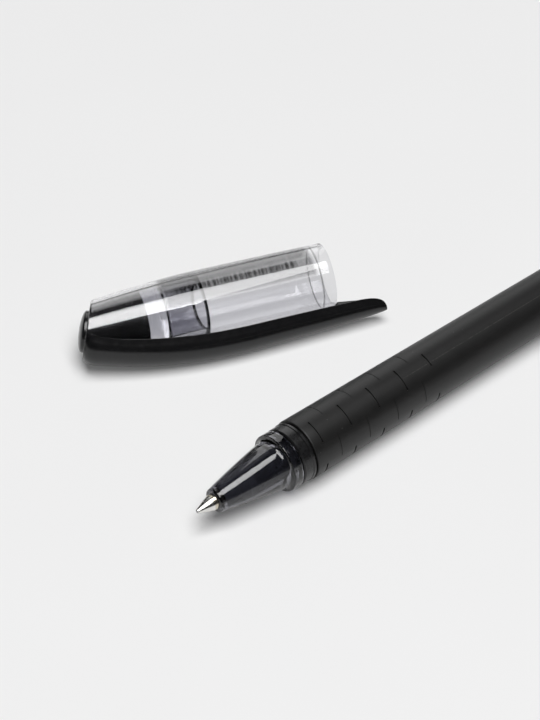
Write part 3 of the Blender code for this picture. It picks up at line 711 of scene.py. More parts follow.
def soft_skin_finish(looks):
    """Soft-touch skin: matt, finely grained, with a little dust and a dotted parting line."""
    sheen = {"Specular IOR Level": 0.45, "Sheen Weight": 0.06, "Sheen Roughness": 0.3}
    made = Finish("soft_skin", looks.skin, looks.skin_roughness, **sheen)
    cloud = made.noise(size=2.5 * MM, detail=2.0)
    base = made.ramp(cloud, [(0.3, shade(looks.skin, 0.8)), (0.7, shade(looks.skin, 1.3))])
    behind = made.calculate("GREATER_THAN", made.coordinate("Z"), SEAM_START)
    dots = made.ramp(made.noise(size=SEAM_DOTS, detail=1.0), [(0.38, 0.0), (0.55, 1.0)])
    seam = made.product(made.strip(SLIT_MIDDLE, SEAM_HALF_WIDTH), behind, dots)
    base = made.mix(seam, base, shade(SEAM_TONE))
    specks = made.dust(spacing=1.3 * MM, size=0.05 * MM, kept=0.16)
    made.drive("Base Color", made.mix(specks, base, shade(SKIN_DUST)))
    grain = made.noise(size=0.05 * MM, detail=3.0)
    middle = looks.skin_roughness
    tones = [(0.3, middle - SKIN_GLOSS_SPREAD), (0.7, middle + SKIN_GLOSS_SPREAD)]
    made.drive("Roughness", made.ramp(grain, tones))
    made.bump(grain, distance=0.006 * MM, strength=0.6)
    return made.material


def hard_black_finish(looks):
    """Semi-gloss moulded plastic with faint turning marks."""
    made = Finish("hard_black", looks.hard_black, roughness=0.3, **{"Specular IOR Level": 0.45})
    made.gloss(size=0.7 * MM, detail=3.0, low=(0.3, 0.24), high=(0.7, 0.36))
    made.bump(made.noise(size=0.12 * MM, detail=2.0), distance=0.002 * MM, strength=0.5)
    return made.material


def gloss_black_finish(looks, name):
    """Gloss moulded plastic with a soft ripple, and a little dust."""
    roughness = looks.clip_roughness
    made = Finish(name, looks.gloss_black, roughness, **{"Specular IOR Level": 0.5})
    specks = made.dust(spacing=1.7 * MM, size=0.045 * MM, kept=0.1)
    made.drive("Base Color", made.mix(specks, shade(looks.gloss_black), shade(GLOSS_DUST)))
    made.gloss(size=0.9 * MM, detail=3.0, low=(0.35, roughness - 0.03), high=(0.7, roughness + 0.05))
    made.bump(made.noise(size=3.0 * MM, detail=1.0), distance=0.006 * MM, strength=0.4)
    return made.material


def clear_plastic(name, tint, roughness, ior, ripple, passed):
    """Clear moulded plastic with faint flow lines. passed is the tint of light that shines through it."""
    made = Finish(name, tint, roughness, **{"Transmission Weight": 1.0, "IOR": ior})
    made.gloss(size=0.4 * MM, detail=2.0, low=(0.4, roughness), high=(0.8, roughness + 0.03))
    made.bump(made.noise(size=2.2 * MM, detail=1.5), distance=ripple, strength=0.5)
    made.let_light_through(passed)
    return made


def smoke_finish(looks):
    """Smoke-grey plastic of the nose. Light takes on the square root of its tint at each face."""
    passed = tuple(math.sqrt(value) for value in looks.smoke)
    made = clear_plastic("smoke_plastic", looks.smoke, SMOKE_ROUGHNESS, SMOKE_IOR, SMOKE_RIPPLE, passed)
    return made.material


def shell_finish(looks):
    """Clear plastic of the cap, darkened by painted shade along its upper side and on a narrow strip of
    dark streaks in fine rings.
    """
    clear = looks.clear
    made = clear_plastic("clear_plastic", clear, SHELL_ROUGHNESS, CAP_IOR, SHELL_RIPPLE, clear)
    # Painted shade: the base colour darkens along the shell's upper side, away from the clip, and the stop
    # ring takes the same darker tone
    height = made.coordinate("Z")
    start, full = (PAINTED_SHADE_RADIUS * math.cos(angle) for angle in PAINTED_SHADE_SPREAD)
    rise = made.calculate("SUBTRACT", made.along(PAINTED_SHADE_ANGLE), start)
    shaded = made.ramp(made.calculate("DIVIDE", rise, full - start), [(0.0, 0.0), (1.0, 1.0)])
    shaded = made.product(shaded, made.span(height, PAINTED_SHADE_ENDS, PAINTED_SHADE_FADE))
    ring = (STOP_RING_AT - STOP_RING_HALF_WIDTH, STOP_RING_AT + STOP_RING_HALF_WIDTH)
    shaded = made.calculate("MAXIMUM", shaded, made.span(height, ring, STOP_RING_HALF_WIDTH))
    # Painted shade: a narrow strip along the shell, darkened in fine rings of dark streaks
    rings = made.add("ShaderNodeTexNoise", noise_dimensions="1D")
    rings.inputs["Scale"].default_value = 1 / SHADE_STREAK_PITCH
    rings.inputs["Detail"].default_value = 1.0
    made.link(height, rings.inputs["W"])
    streaked = made.product(
        made.strip(SHADE_STREAK_ANGLE, SHADE_STREAK_HALF_WIDTH),
        made.span(height, SHADE_STREAK_ENDS, PAINTED_SHADE_FADE),
        made.ramp(rings.outputs["Fac"], SHADE_STREAK_STRENGTHS),
    )
    # The painted shade lowers the shell's base colour to the given shares
    depth = made.product(made.calculate("ADD", shaded, streaked), 0.5)
    tones = [(0.0, shade(clear)), (0.5, shade(clear, looks.painted_shade)), (1.0, shade(clear, looks.shade_streaks))]
    made.drive("Base Color", made.ramp(depth, tones))
    return made.material


def sleeve_finish(looks, start):
    """Faintly tinted plastic of the inner sleeve, dark at its front lip."""
    tint = looks.sleeve_tint
    made = clear_plastic("tinted_plastic", tint, SLEEVE_ROUGHNESS, CAP_IOR, SLEEVE_RIPPLE, tint)
    lip = made.span(made.coordinate("Z"), (start - SLEEVE_LIP, start + SLEEVE_LIP), SLEEVE_LIP / 4)
    made.drive("Base Color", made.mix(lip, shade(tint), shade(tint, SLEEVE_LIP_SHARE)))
    return made.material


def nickel_finish(looks):
    """Turned nickel silver: bright on the taper, yellower on the shank, with fine turning marks."""
    made = Finish("turned_nickel", looks.nickel, roughness=0.2, Metallic=1.0)
    along = made.calculate("DIVIDE", made.coordinate("Z"), TIP_LENGTH)
    change = TIP_CONE_LENGTH / TIP_LENGTH
    tones = [(change - TIP_TONE_FADE, shade(looks.nickel)), (change + TIP_TONE_FADE, shade(looks.shank))]
    made.drive("Base Color", made.ramp(along, tones))
    made.gloss(size=0.1 * MM, detail=2.0, low=(0.3, 0.16), high=(0.7, 0.28))
    marks = made.add("ShaderNodeTexWave", bands_direction="Z")
    marks.inputs["Scale"].default_value = 1 / TURNING_MARKS
    marks.inputs["Distortion"].default_value = TURNING_WAVER
    made.link(made.place, marks.inputs["Vector"])
    made.bump(marks.outputs["Fac"], distance=0.003 * MM, strength=0.5)
    return made.material


def frosted_finish(looks, name, roughness, transmission):
    """Half see-through moulded plastic."""
    made = Finish(name, looks.frosted, roughness, **{"Transmission Weight": transmission, "IOR": 1.5})
    made.gloss(size=0.6 * MM, detail=2.0, low=(0.3, roughness - 0.05), high=(0.7, roughness + 0.08))
    made.bump(made.noise(size=0.08 * MM, detail=2.0), distance=0.002 * MM, strength=0.5)
    return made.material


def hidden_finish(name, base, roughness, grain, **values):
    """Finish of a small inner piece: a plain tone with a cloudy gloss and fine grain."""
    made = Finish(name, base, roughness, **values)
    made.gloss(size=grain * 6, detail=2.0, low=(0.3, roughness * 0.8), high=(0.7, roughness * 1.3))
    made.bump(made.noise(size=grain, detail=2.0), distance=grain * 0.02, strength=0.4)
    return made.material


def slit_bars(sizes, place):
    """All the slits of the grip as one cutter of separate bent bars, staggered from row to row.

    Every other row is only a faint score.
    """
    bars = []
    for row in range(sizes.slit_rows):
        half = (sizes.score_width if row % 2 else sizes.slit_width) / 2
        depth = sizes.score_depth if row % 2 else sizes.slit_depth
        middle = SKIN_START + SLIT_FIRST + row * SLIT_PITCH
        low = barrel_radius(sizes, middle) - depth
        high = barrel_radius(sizes, middle) + SKIN_WALL
        span = SLIT_LAST_ARC if row == sizes.slit_rows - 1 else SLIT_ARC
        for index in range(SLITS_ROUND):
            start = SLIT_MIDDLE - SLIT_ARC / 2 + (index + row % 2 / 2) * math.tau / SLITS_ROUND
            rings = []
            for angle in spaced(start, start + span, SLIT_STEPS):
                outward = Vector((math.cos(angle), math.sin(angle), 0.0))
                ring = []
                for radius, height in ((low, -half), (high, -half), (high, half), (low, half)):
                    ring.append(outward * radius + Vector((0.0, 0.0, middle + height)))
                rings.append(ring)
            bars.append(rings)
    return loft_piece("slit_bars", place, None, *bars)


class PEN_OT_grip(Operator):
    """Builds the soft skin with its rows of slits"""

    bl_idname = "pen.grip"
    bl_label = "Soft grip"

    def execute(self, context):
        sizes = context.scene.pen_sizes
        place = pen_place()
        edge = SKIN_EDGE_ROUND
        front = barrel_radius(sizes, SKIN_START + edge)
        outside = arc(front - edge, SKIN_START + edge, edge, -QUARTER, 0.0, count=8)
        outside.append((barrel_radius(sizes, BARREL_END), BARREL_END))
        inside = [
            (barrel_radius(sizes, SKIN_START) - SKIN_WALL, SKIN_START),
            (barrel_radius(sizes, BARREL_END) - SKIN_WALL, BARREL_END),
        ]
        finish = soft_skin_finish(context.scene.pen_finishes)
        skin = turned("soft_grip", place, finish, outside, inside)
        combine(skin, [("DIFFERENCE", slit_bars(sizes, place))])
        settle(skin, "pen", "soft_black", "grip_sleeve")
        return {"FINISHED"}


class PEN_OT_barrel(Operator):
    """Builds the hard barrel with its collar, and the plug in the tail"""

    bl_idname = "pen.barrel"
    bl_label = "Barrel and tail plug"

    def execute(self, context):
        sizes = context.scene.pen_sizes
        looks = context.scene.pen_finishes
        place = pen_place()
        collar_end = COLLAR_START + COLLAR_LENGTH
        ring_start = collar_end - COLLAR_RING_LENGTH
        skin = SKIN_WALL + PRESS_GAP
        socket = SPIGOT_RADIUS + RUNNING_GAP
        socket_end = CONE_BACK + SPIGOT_LENGTH + SEAT_GAP
        step = sizes.collar_ring_radius - sizes.collar_radius
        outside = stepped(
            (sizes.collar_radius - COLLAR_CHAMFER, COLLAR_START),
            (sizes.collar_radius, COLLAR_START + COLLAR_CHAMFER, ring_start),
            (sizes.collar_ring_radius, ring_start + step, collar_end),
            (barrel_radius(sizes, collar_end) - skin, collar_end),
            (barrel_radius(sizes, BARREL_END) - skin, BARREL_END),
        )
        inside = stepped((socket, COLLAR_START, socket_end), (BARREL_BORE, socket_end, BARREL_END))
        barrel = turned("barrel_and_collar", place, hard_black_finish(looks), outside, inside)
        settle(barrel, "pen", "hard_black", "barrel_tube")

        head_start = BARREL_END + PRESS_GAP
        end = head_start + PLUG_HEAD_LENGTH
        spigot = BARREL_BORE - PRESS_GAP
        spigot_start = BARREL_END - PLUG_SPIGOT_LENGTH
        hollow_end = BARREL_END - PLUG_WALL
        edge = PLUG_EDGE_ROUND
        outside = stepped((spigot, spigot_start, head_start), (sizes.tail_radius, head_start))
        outside += arc(sizes.tail_radius - edge, end - edge, edge, 0.0, QUARTER, count=10)
        inside = stepped((spigot - PLUG_WALL, spigot_start, hollow_end), (VENT_RADIUS, hollow_end, end))
        plug = turned("vented_plug", place, gloss_black_finish(looks, "plug_black"), outside, inside)
        settle(plug, "pen", "gloss_black", "tail_plug")
        return {"FINISHED"}


class PEN_OT_nose(Operator):
    """Builds the see-through nose cone with its flange and screw spigot"""

    bl_idname = "pen.nose"
    bl_label = "Nose cone"

    def execute(self, context):
        sizes = context.scene.pen_sizes
        looks = context.scene.pen_finishes
        spigot_end = CONE_BACK + SPIGOT_LENGTH
        flange_front = CONE_BACK - FLANGE_LENGTH
        edge = FLANGE_EDGE_ROUND
        rim = sizes.flange_radius - edge
        front = CONE_FRONT_ROUND
        fillet_width = rim - sizes.cone_base_radius
        fillet_length = flange_front - CONE_BASE
        lip = sizes.shank_radius + RUNNING_GAP
        lip_end = CONE_FRONT + CONE_LIP_LENGTH
        full = sizes.refill_radius + 2 * RUNNING_GAP
        shoulder = max(full, cone_radius(sizes, HOLDER_RIM) - CONE_WALL)
        start = CONE_FRONT + front
        outside = arc(cone_radius(sizes, start) - front, start, front, -QUARTER, 0.0, count=10)
        for height in spaced(start, CONE_BASE, count=20)[1:]:
            outside.append((cone_radius(sizes, height), height))
        for angle in spaced(0.0, QUARTER, count=12)[1:]:
            radius = sizes.cone_base_radius + fillet_width * (1 - math.cos(angle))
            outside.append((radius, CONE_BASE + fillet_length * math.sin(angle)))
        outside += arc(rim, flange_front + edge, edge, -QUARTER, 0.0, count=5)[1:]
        outside += arc(rim, CONE_BACK - edge, edge, 0.0, QUARTER, count=5)
        outside += stepped((SPIGOT_RADIUS, CONE_BACK, spigot_end))
        inside = stepped(
            (lip, CONE_FRONT, lip_end),
            (HOLDER_NECK_RADIUS + 2 * RUNNING_GAP, lip_end),
            (shoulder, HOLDER_RIM - 2 * RUNNING_GAP),
            (SPIGOT_BORE, CONE_BASE, spigot_end),
        )
        nose = turned("smoke_nose", pen_place(), smoke_finish(looks), outside, inside)
        settle(nose, "nose", "smoke_clear", "nose_cone")
        return {"FINISHED"}


class PEN_OT_refill(Operator):
    """Builds the metal point, its holder, the ink tube and the ink, and finishes balls and grease"""

    bl_idname = "pen.refill"
    bl_label = "Refill"

    def execute(self, context):
        sizes = context.scene.pen_sizes
        looks = context.scene.pen_finishes
        place = pen_place()
        self.point(sizes, looks, place)
        self.holder(sizes, looks, place)
        self.tube(sizes, looks, place)
        self.ink(place)
        carbide = hidden_finish("polished_carbide", CARBIDE, roughness=0.12, grain=0.03 * MM, Metallic=1.0)
        clear = {"Transmission Weight": 0.6, "IOR": 1.45}
        pale_grease = hidden_finish("pale_grease", GREASE, roughness=0.25, grain=0.3 * MM, **clear)
        inner = {"writing_ball": carbide, "valve_ball": carbide, "ink_follower": pale_grease}
        for node, finish in inner.items():
            frame["nodes"][node].material_slots[0].material = finish
        return {"FINISHED"}

    def tube(self, sizes, looks, place):
        """The ink tube, pushed over the holder's spigot."""
        start = HOLDER_BACK + PRESS_GAP
        end = BARREL_END - PLUG_SPIGOT_LENGTH - REFILL_END_GAP
        outside = stepped((sizes.refill_radius, start, end))
        inside = stepped((sizes.refill_radius - REFILL_WALL, start, end))
        finish = frosted_finish(looks, "frosted_tube", roughness=0.3, transmission=0.7)
        made = turned("ink_tube", place, finish, outside, inside, SMALL_STEPS)
        settle(made, "refill", "frosted", "refill_tube")

    def ink(self, place):
        """The ink, one rod along its CAD column, from its front end in the tube to its back end at the plug
        of grease.
        """
        low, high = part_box("ink_column")
        radius = (high.y - low.y) / 2
        front = Vector((0.0, 0.0, low.x - place.translation.x))
        back = Vector((0.0, 0.0, high.x - place.translation.x))
        outline = stepped((0.0, front.z), (radius, front.z, back.z), (0.0, back.z))
        finish = hidden_finish("wet_ink", INK, roughness=0.2, grain=0.4 * MM)
        made = turned("ink", place, finish, outline, steps=SMALL_STEPS)
        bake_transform(made)
        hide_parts("ink_column")

    def point(self, sizes, looks, place):
        """The metal point: its taper holds the ball, with a thin ink channel behind it."""
        cup = BALL_RADIUS + SOCKET_GAP
        seat = math.pi - math.asin(INK_CHANNEL_RADIUS / cup)
        hollow = []
        for angle in spaced(SOCKET_LIP_ANGLE, seat, count=12):
            hollow.append((cup * math.sin(angle), BALL_RADIUS - cup * math.cos(angle)))
        lip_radius, lip_height = hollow[0]
        outside = stepped(
            (lip_radius + SOCKET_LIP_WALL, lip_height),
            (cup + SOCKET_LIP_WALL, BALL_RADIUS),
            (sizes.shank_radius, TIP_CONE_LENGTH, TIP_LENGTH),
        )
        bore = (TIP_BORE_RADIUS, TIP_CONE_LENGTH + TIP_BORE_RADIUS, TIP_LENGTH)
        inside = hollow + stepped((INK_CHANNEL_RADIUS, TIP_CONE_LENGTH), bore)
        made = turned("metal_point", place, nickel_finish(looks), outside, inside, SMALL_STEPS)
        settle(made, "refill", "nickel", "tip_socket")

    def holder(self, sizes, looks, place):
        """The moulded holder, which grips the shank and keeps the valve ball in its spigot."""
        end = HOLDER_BACK + HOLDER_SPIGOT_LENGTH
        spigot = sizes.refill_radius - REFILL_WALL - PRESS_GAP
        grip = sizes.shank_radius + PRESS_GAP
        chamber = VALVE_BALL_RADIUS + VALVE_PLAY
        chamber_end = HOLDER_BACK + VALVE_PLAY + 2 * VALVE_BALL_RADIUS + VALVE_LIFT
        outside = stepped(
            (HOLDER_NECK_RADIUS - HOLDER_CHAMFER, HOLDER_FRONT),
            (HOLDER_NECK_RADIUS, HOLDER_FRONT + HOLDER_CHAMFER, HOLDER_FRONT + HOLDER_NECK_LENGTH),
            (sizes.refill_radius, HOLDER_RIM, HOLDER_BACK),
            (spigot, HOLDER_BACK, end),
        )
        inside = stepped(
            (grip, HOLDER_FRONT, TIP_LENGTH + PRESS_GAP),
            (HOLDER_BORE, TIP_LENGTH + PRESS_GAP, HOLDER_BACK),
            (chamber, HOLDER_BACK, chamber_end),
            (HOLDER_BORE, chamber_end, end),
        )
        finish = frosted_finish(looks, "frosted_holder", roughness=0.35, transmission=0.3)
        made = turned("point_holder", place, finish, outside, inside, SMALL_STEPS)
        settle(made, "refill", "frosted", "tip_holder")


class PEN_OT_cap(Operator):
    """Builds the clear shell of the cap, its inner sleeve and its crown"""

    bl_idname = "pen.cap"
    bl_label = "Cap"

    def execute(self, context):
        sizes = context.scene.cap_sizes
        looks = context.scene.pen_finishes
        place = cap_place(sizes)
        self.shell(sizes, looks, place)
        self.sleeve(sizes, looks, place)
        self.crown(sizes, looks, place)
        return {"FINISHED"}

    def shell(self, sizes, looks, place):
        """The clear shell, with a lead-in at its mouth and an end that leans."""
        bore = cap_bore()
        edge = CAP_RIM_ROUND
        start = inner_cap_start(sizes)
        rim = arc(cap_radius(sizes, edge) - edge, edge, edge, -QUARTER, 0.0, count=4)
        rim += cap_wall(sizes, spaced(edge, CAP_WIDEST_AT, count=24)[1:])
        mouth = stepped((bore, start, CAP_LEAD_IN), (bore + CAP_LEAD_IN_FLARE, 0.0))

        def outline(angle):
            end = end_on_wall(sizes, angle, 0.0)
            points = cap_wall(sizes, spaced(CAP_WIDEST_AT, end - CAP_END_ROUND, count=30)[1:])
            corner = (cap_radius(sizes, end), end)
            face = corner[0] - CAP_END_ROUND
            after = (face, end_height(sizes, face * math.cos(angle)))
            points += rounded(points[-1], corner, after, count=8)[1:]
            inner_end = end_on_wall(sizes, angle, sizes.wall)
            return rim + points + cap_wall(sizes, spaced(inner_end, start, count=36), sizes.wall) + mouth

        shell = spun("clear_shell", place, shell_finish(looks), outline, True)
        settle(shell, "cap", "clear", "cap_shell")

    def sleeve(self, sizes, looks, place):
        """The cup inside the shell, closed towards the crown."""
        start, end = inner_cap_start(sizes), inner_cap_end(sizes)
        floor = start + INNER_CAP_DEPTH
        bevel = INNER_CAP_BEVEL
        outline = [(0.0, floor)]
        outline += arc(INNER_CAP_BORE - bevel, floor - bevel, bevel, QUARTER, 0.0, count=10)
        outline.append((INNER_CAP_BORE, start))
        outline += cap_wall(sizes, spaced(start, end, count=18), sizes.wall + PRESS_GAP)
        outline.append((0.0, end))
        sleeve = turned("inner_sleeve", place, sleeve_finish(looks, start), outline)
        settle(sleeve, "cap", "tinted_clear", "inner_cap")

    def crown(self, sizes, looks, place):
        """The plug in the closed end, with grooves round it and the button on its face."""
        start = inner_cap_end(sizes) + PRESS_GAP
        inset = sizes.wall + PRESS_GAP
        sides = [(0.0, start)]
        reached = start
        for offset in CROWN_RINGS:
            low = start + offset
            high = low + CROWN_RING_WIDTH
            sides += cap_wall(sizes, spaced(reached, low, count=4), inset)
            sides += cap_wall(sizes, (low, high), inset + CROWN_RING_DEPTH)
            reached = high

        def outline(angle):
            end = end_on_wall(sizes, angle, inset)
            return sides + cap_wall(sizes, spaced(reached, end, count=5), inset) + [(0.0, sizes.length)]

        finish = gloss_black_finish(looks, "crown_black")
        crown = spun("crown_and_button", place, finish, outline, False)
        combine(crown, [("UNION", self.button(sizes, place))])
        settle(crown, "cap", "gloss_black", "cap_crown")

    def button(self, sizes, place):
        """The domed button, square to the leaning end face."""
        dome_start = BUTTON_HEIGHT - BUTTON_DOME
        outline = [(0.0, -BUTTON_SINK), (sizes.button_radius, -BUTTON_SINK)]
        for angle in spaced(0.0, QUARTER, count=16)[:-1]:
            height = dome_start + BUTTON_DOME * math.sin(angle)
            outline.append((sizes.button_radius * math.cos(angle), height))
        outline.append((0.0, BUTTON_HEIGHT))
        seat = Matrix.Translation((0.0, 0.0, sizes.length)) @ Matrix.Rotation(-CAP_END_LEAN, 4, "Y")
        return turned("button", place @ seat, None, outline)


def clip_section(sizes, height):
    """(edge, centre, radius) of the clip at a height: where its sides end and where its round back is
    struck from, both counted from the cap's axis, and the radius of the back."""
    root = sizes.length
    straight_end = -sizes.clip_reach + CLIP_TIP_LENGTH
    part = (root - height) / (root - straight_end)
    width = between(sizes.clip_root_half_width, sizes.clip_tip_half_width, part)
    width += CLIP_SIDE_BULGE * bulge(part)
    if height > CLIP_RISE_START:
        climb = (height - CLIP_RISE_START) / (root - CLIP_RISE_START)
        edge = sizes.clip_standoff - CLIP_RISE * climb**CLIP_RISE_POWER
    else:
        edge = sizes.clip_standoff - CLIP_SWEEP_RATIO * (CLIP_RISE_START - height)
    flare = CLIP_ROOT_FLARE * max(1 - (root - height) / CLIP_FLARE_LENGTH, 0.0) ** 2
    width += flare
    edge -= flare
    lean = math.sin(CLIP_SIDE_DRAFT)
    upright = math.cos(CLIP_SIDE_DRAFT)
    radius = (width - CLIP_SIDE_LENGTH * lean) / upright
    centre = edge + CLIP_SIDE_LENGTH * upright - radius * lean
    if height < straight_end:
        closing = (straight_end - height) / CLIP_TIP_LENGTH
        fullness = max(1 - closing**CLIP_TIP_POWER, 0.0) ** (1 / CLIP_TIP_POWER)
        middle = edge + CLIP_SIDE_LENGTH + CLIP_TIP_LIFT
        edge = between(middle, edge, fullness)
        centre = between(middle, centre, fullness)
        radius *= fullness
    return edge, centre, radius


def clip_outline(sizes, height, inset=0.0, edge=None, drop=0.0):
    """Points of the clip's closed section in the cap's own frame: leaning sides and a round back.

    inset draws the section in on all sides but the open one. The sides run on, straight, to edge, or by
    drop past their own edge.
    """
    own_edge, centre, radius = clip_section(sizes, height)
    radius = max(radius - inset, CLIP_LEAST_RADIUS)
    half = (radius + (centre - own_edge) * math.sin(CLIP_SIDE_DRAFT)) / math.cos(CLIP_SIDE_DRAFT)
    reach = QUARTER - CLIP_SIDE_DRAFT
    if edge is None:
        edge = own_edge - drop
    rim = min(CLIP_RIM_ROUND, half / 2)
    corner = rounded((edge, half - rim), (edge, half), (edge + rim, half), count=4)
    points = [Vector((x, -y, height)) for x, y in corner]
    for angle in spaced(-reach, reach, CLIP_ARC_STEPS):
        points.append(Vector((centre + radius * math.cos(angle), radius * math.sin(angle), height)))
    points += [Vector((x, y, height)) for x, y in reversed(corner)]
    return points


def clip_heights(sizes, start, end, count):
    """Stations along the clip, closer together where the tip rounds off."""
    straight_end = -sizes.clip_reach + CLIP_TIP_LENGTH
    heights = []
    for angle in spaced(0.0, QUARTER, count=20):
        heights.append(straight_end - (straight_end - start) * math.cos(angle))
    return heights + spaced(straight_end, end, count)[1:]


def clip_hinge(sizes):
    """Point of the cap's frame about which the clip flexes: the middle of its root."""
    height = sizes.length - CLIP_HINGE_FROM_END
    return Vector((clip_section(sizes, height)[1], 0.0, height))


class PEN_OT_clip(Operator):
    """Builds the clip in one piece, from its root on the cap to the nub under its tip"""

    bl_idname = "pen.clip"
    bl_label = "Clip"

    def execute(self, context):
        sizes = context.scene.cap_sizes
        looks = context.scene.pen_finishes
        place = cap_place(sizes)
        root = clip_hinge(sizes).z - SEAT_GAP / 2
        finish = gloss_black_finish(looks, "clip_black")
        clip = loft_piece("pocket_clip", place, finish, self.outside(sizes, root))
        hollow_tip = -sizes.clip_reach + CLIP_TIP_WALL
        hollow = []
        for height in clip_heights(sizes, hollow_tip, root - CLIP_ROOT_WALL, count=40):
            hollow.append(clip_outline(sizes, height, inset=sizes.clip_wall, edge=0.0))
        tools = [
            ("DIFFERENCE", loft_piece("trough", place, None, hollow)),
            ("UNION", self.nub(sizes, place)),
            ("DIFFERENCE", self.cap_room(sizes, place)),
        ]
        combine(clip, tools)
        hinge = clip_hinge(sizes)
        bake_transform(clip)
        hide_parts("clip_arm", "clip_base")
        return {"FINISHED"}

    def outside(self, sizes, root):
        """Rings of the whole clip: the arm, then the root that leans over to end flush with the cap."""
        rings = []
        for height in clip_heights(sizes, -sizes.clip_reach, root, count=60):
            rings.append(clip_outline(sizes, height, drop=CLIP_LIP))
        last = sizes.length - CLIP_END_ROUND
        for height in spaced(root, last, count=16)[1:]:
            rings.append(self.leaning(sizes, root, height, 0.0))
        for angle in spaced(0.0, QUARTER, count=12)[1:]:
            height = sizes.length - CLIP_END_ROUND * (1 - math.sin(angle))
            rings.append(self.leaning(sizes, root, height, CLIP_END_ROUND * (1 - math.cos(angle))))
        return rings

    def leaning(self, sizes, root, height, inset):
        """A ring of the clip's root, turned step by step into the plane of the end face."""
        lean = math.tan(CAP_END_LEAN) * ((height - root) / (sizes.length - root)) ** 2
        ring = clip_outline(sizes, height + CLIP_END_ASIDE * lean, inset, drop=CLIP_LIP)
        return [Vector((point.x, point.y, height + point.x * lean)) for point in ring]

    def nub(self, sizes, place):
        """The wedge under the clip's tip, which bears on a pocket's cloth."""
        rings = []
        for part in spaced(0.0, 1.0, count=20):
            height = NUB_START - NUB_LENGTH * part
            rise = NUB_RISE * min(part / NUB_CREST_SHARE, (1 - part) / (1 - NUB_CREST_SHARE))
            rings.append(clip_outline(sizes, height, NUB_INSET, drop=rise + NUB_LEAST_RISE))
        return loft_piece("nub", place, None, rings)

    def cap_room(self, sizes, place):
        """The room that the cap takes up, to be cut out of the clip."""
        top = end_height(sizes, sizes.widest_radius)
        heights = spaced(0.0, CAP_WIDEST_AT, count=12) + spaced(CAP_WIDEST_AT, top, count=28)[1:]
        outside = [(0.0, -PRESS_GAP), (cap_radius(sizes, 0.0) + PRESS_GAP, -PRESS_GAP)]
        outside += cap_wall(sizes, heights[1:], -PRESS_GAP)
        outside.append((0.0, top))
        return turned("cap_room", place, None, outside)


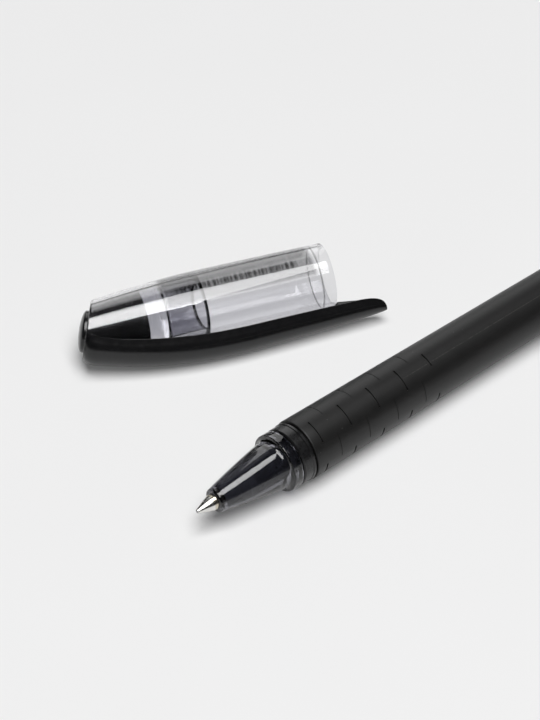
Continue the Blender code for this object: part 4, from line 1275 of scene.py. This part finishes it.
class PEN_OT_stage(Operator):
    """Sets up the table, the softbox, the screen, the dim room and the camera"""

    bl_idname = "pen.stage"
    bl_label = "Stage"

    def execute(self, context):
        scene = context.scene
        look = scene.stage_look
        tip = pen_place().translation
        self.table(look)
        self.softbox(scene, look)
        self.screen(scene, look)
        self.room(scene, look)
        self.camera(scene, look, Vector((tip.x, tip.y, 0.0)))
        scene.view_settings.view_transform = "Standard"
        return {"FINISHED"}

    def table(self, look):
        """A pale table top that keeps the shadows on it soft and light."""
        shape = bmesh.new()
        bmesh.ops.create_grid(shape, x_segments=FLOOR_CUTS, y_segments=FLOOR_CUTS, size=FLOOR_SPAN / 2)
        mesh = bpy.data.meshes.new("table_top")
        shape.to_mesh(mesh)
        shape.free()
        finish = Finish("pale_table", look.floor, roughness=0.9, **{"Specular IOR Level": 0.1})
        tones = [(0.3, shade(look.floor, 0.99)), (0.7, shade(look.floor))]
        finish.drive("Base Color", finish.ramp(finish.noise(size=40 * MM, detail=2.0), tones))
        glow = finish.add("ShaderNodeEmission")
        glow.inputs["Color"].default_value = shade(look.floor)
        path = finish.add("ShaderNodeLightPath").outputs
        seen = finish.calculate("MAXIMUM", path["Is Camera Ray"], path["Is Glossy Ray"])
        seen = finish.calculate("MAXIMUM", seen, path["Is Transmission Ray"])
        finish.blend(finish.product(seen, look.floor_glow), glow.outputs["Emission"])
        mesh.materials.append(finish.material)
        table = bpy.data.objects.new("table_top", mesh)
        bpy.context.scene.collection.objects.link(table)

    def panel(self, scene, name, axes, spans, distance, radiance):
        """A soft panel of light. Its edges are counted along the first two axes, and it faces back along
        the third."""
        lamp = bpy.data.lights.new(name, "AREA")
        lamp.shape = "RECTANGLE"
        lamp.size, lamp.size_y = (end - start for start, end in spans)
        lamp.energy = radiance * math.pi * lamp.size * lamp.size_y
        holder = bpy.data.objects.new(name, lamp)
        scene.collection.objects.link(holder)
        turn = Matrix(axes).transposed()
        middle = turn @ Vector((*(sum(span) / 2 for span in spans), distance))
        holder.matrix_world = Matrix.Translation(middle) @ turn.to_4x4()
        holder.visible_camera = False
        return holder

    def softbox(self, scene, look):
        """One broad softbox overhead, mostly on the camera's side."""
        height = look.softbox_height
        right = Vector((*SOFTBOX_RIGHT, 0.0)).normalized()
        spans = [[edge * height for edge in edges] for edges in (SOFTBOX_ACROSS, SOFTBOX_DEEP)]
        self.panel(scene, "softbox", (right, UP.cross(right), UP), spans, height, look.softbox_radiance)

    def screen(self, scene, look):
        """A pale screen on the far side from the camera, which shows in gloss and clear plastic only."""
        away = Vector((-CAMERA_OFFSET.x, -CAMERA_OFFSET.y, 0.0)).normalized()
        axes = (UP.cross(away), UP, away)
        spans = (SCREEN_ACROSS, SCREEN_HEIGHTS)
        lamp = self.panel(scene, "screen", axes, spans, SCREEN_DISTANCE, look.screen_radiance)
        lamp.visible_diffuse = False

    def room(self, scene, look):
        world = bpy.data.worlds.new("dim_room")
        world.use_nodes = True
        world.node_tree.nodes["Background"].inputs["Color"].default_value = shade(look.surroundings)
        scene.world = world

    def camera(self, scene, look, origin):
        camera = bpy.data.cameras.new("camera")
        camera.lens = look.lens
        holder = bpy.data.objects.new("camera", camera)
        scene.collection.objects.link(holder)
        position = origin + CAMERA_OFFSET
        aim = (origin + TARGET_OFFSET) - position
        turn = aim.to_track_quat("-Z", "Y").to_matrix().to_4x4()
        holder.matrix_world = Matrix.Translation(position) @ turn
        scene.camera = holder


class PEN_PT_panel(Panel):
    """Lists the pieces and the values that shape them"""

    bl_idname = "PEN_PT_panel"
    bl_label = "Ballpoint Pen"
    bl_space_type = "VIEW_3D"
    bl_region_type = "UI"
    bl_category = "Pen"

    def draw(self, context):
        for group in GROUPS:
            values = getattr(context.scene, group)
            box = self.layout.box()
            for name in values.__annotations__:
                box.prop(values, name)
        for step in STEPS:
            self.layout.operator(step.bl_idname)


STEPS = (PEN_OT_stage, PEN_OT_grip, PEN_OT_barrel, PEN_OT_nose, PEN_OT_refill, PEN_OT_cap, PEN_OT_clip)
GROUPS = {
    "pen_sizes": PenSizes,
    "cap_sizes": CapSizes,
    "pen_finishes": PenFinishes,
    "stage_look": StageLook,
}
CLASSES = (*GROUPS.values(), *STEPS, PEN_PT_panel)


def register():
    for made in CLASSES:
        bpy.utils.register_class(made)
    for name, group in GROUPS.items():
        setattr(bpy.types.Scene, name, PointerProperty(type=group))


def unregister():
    for name in GROUPS:
        delattr(bpy.types.Scene, name)
    for made in reversed(CLASSES):
        bpy.utils.unregister_class(made)


def main():
    register()
    bpy.ops.pen.stage()
    bpy.ops.pen.grip()
    bpy.ops.pen.barrel()
    bpy.ops.pen.nose()
    bpy.ops.pen.refill()
    bpy.ops.pen.cap()
    bpy.ops.pen.clip()


if __name__ == "__main__":
    main()
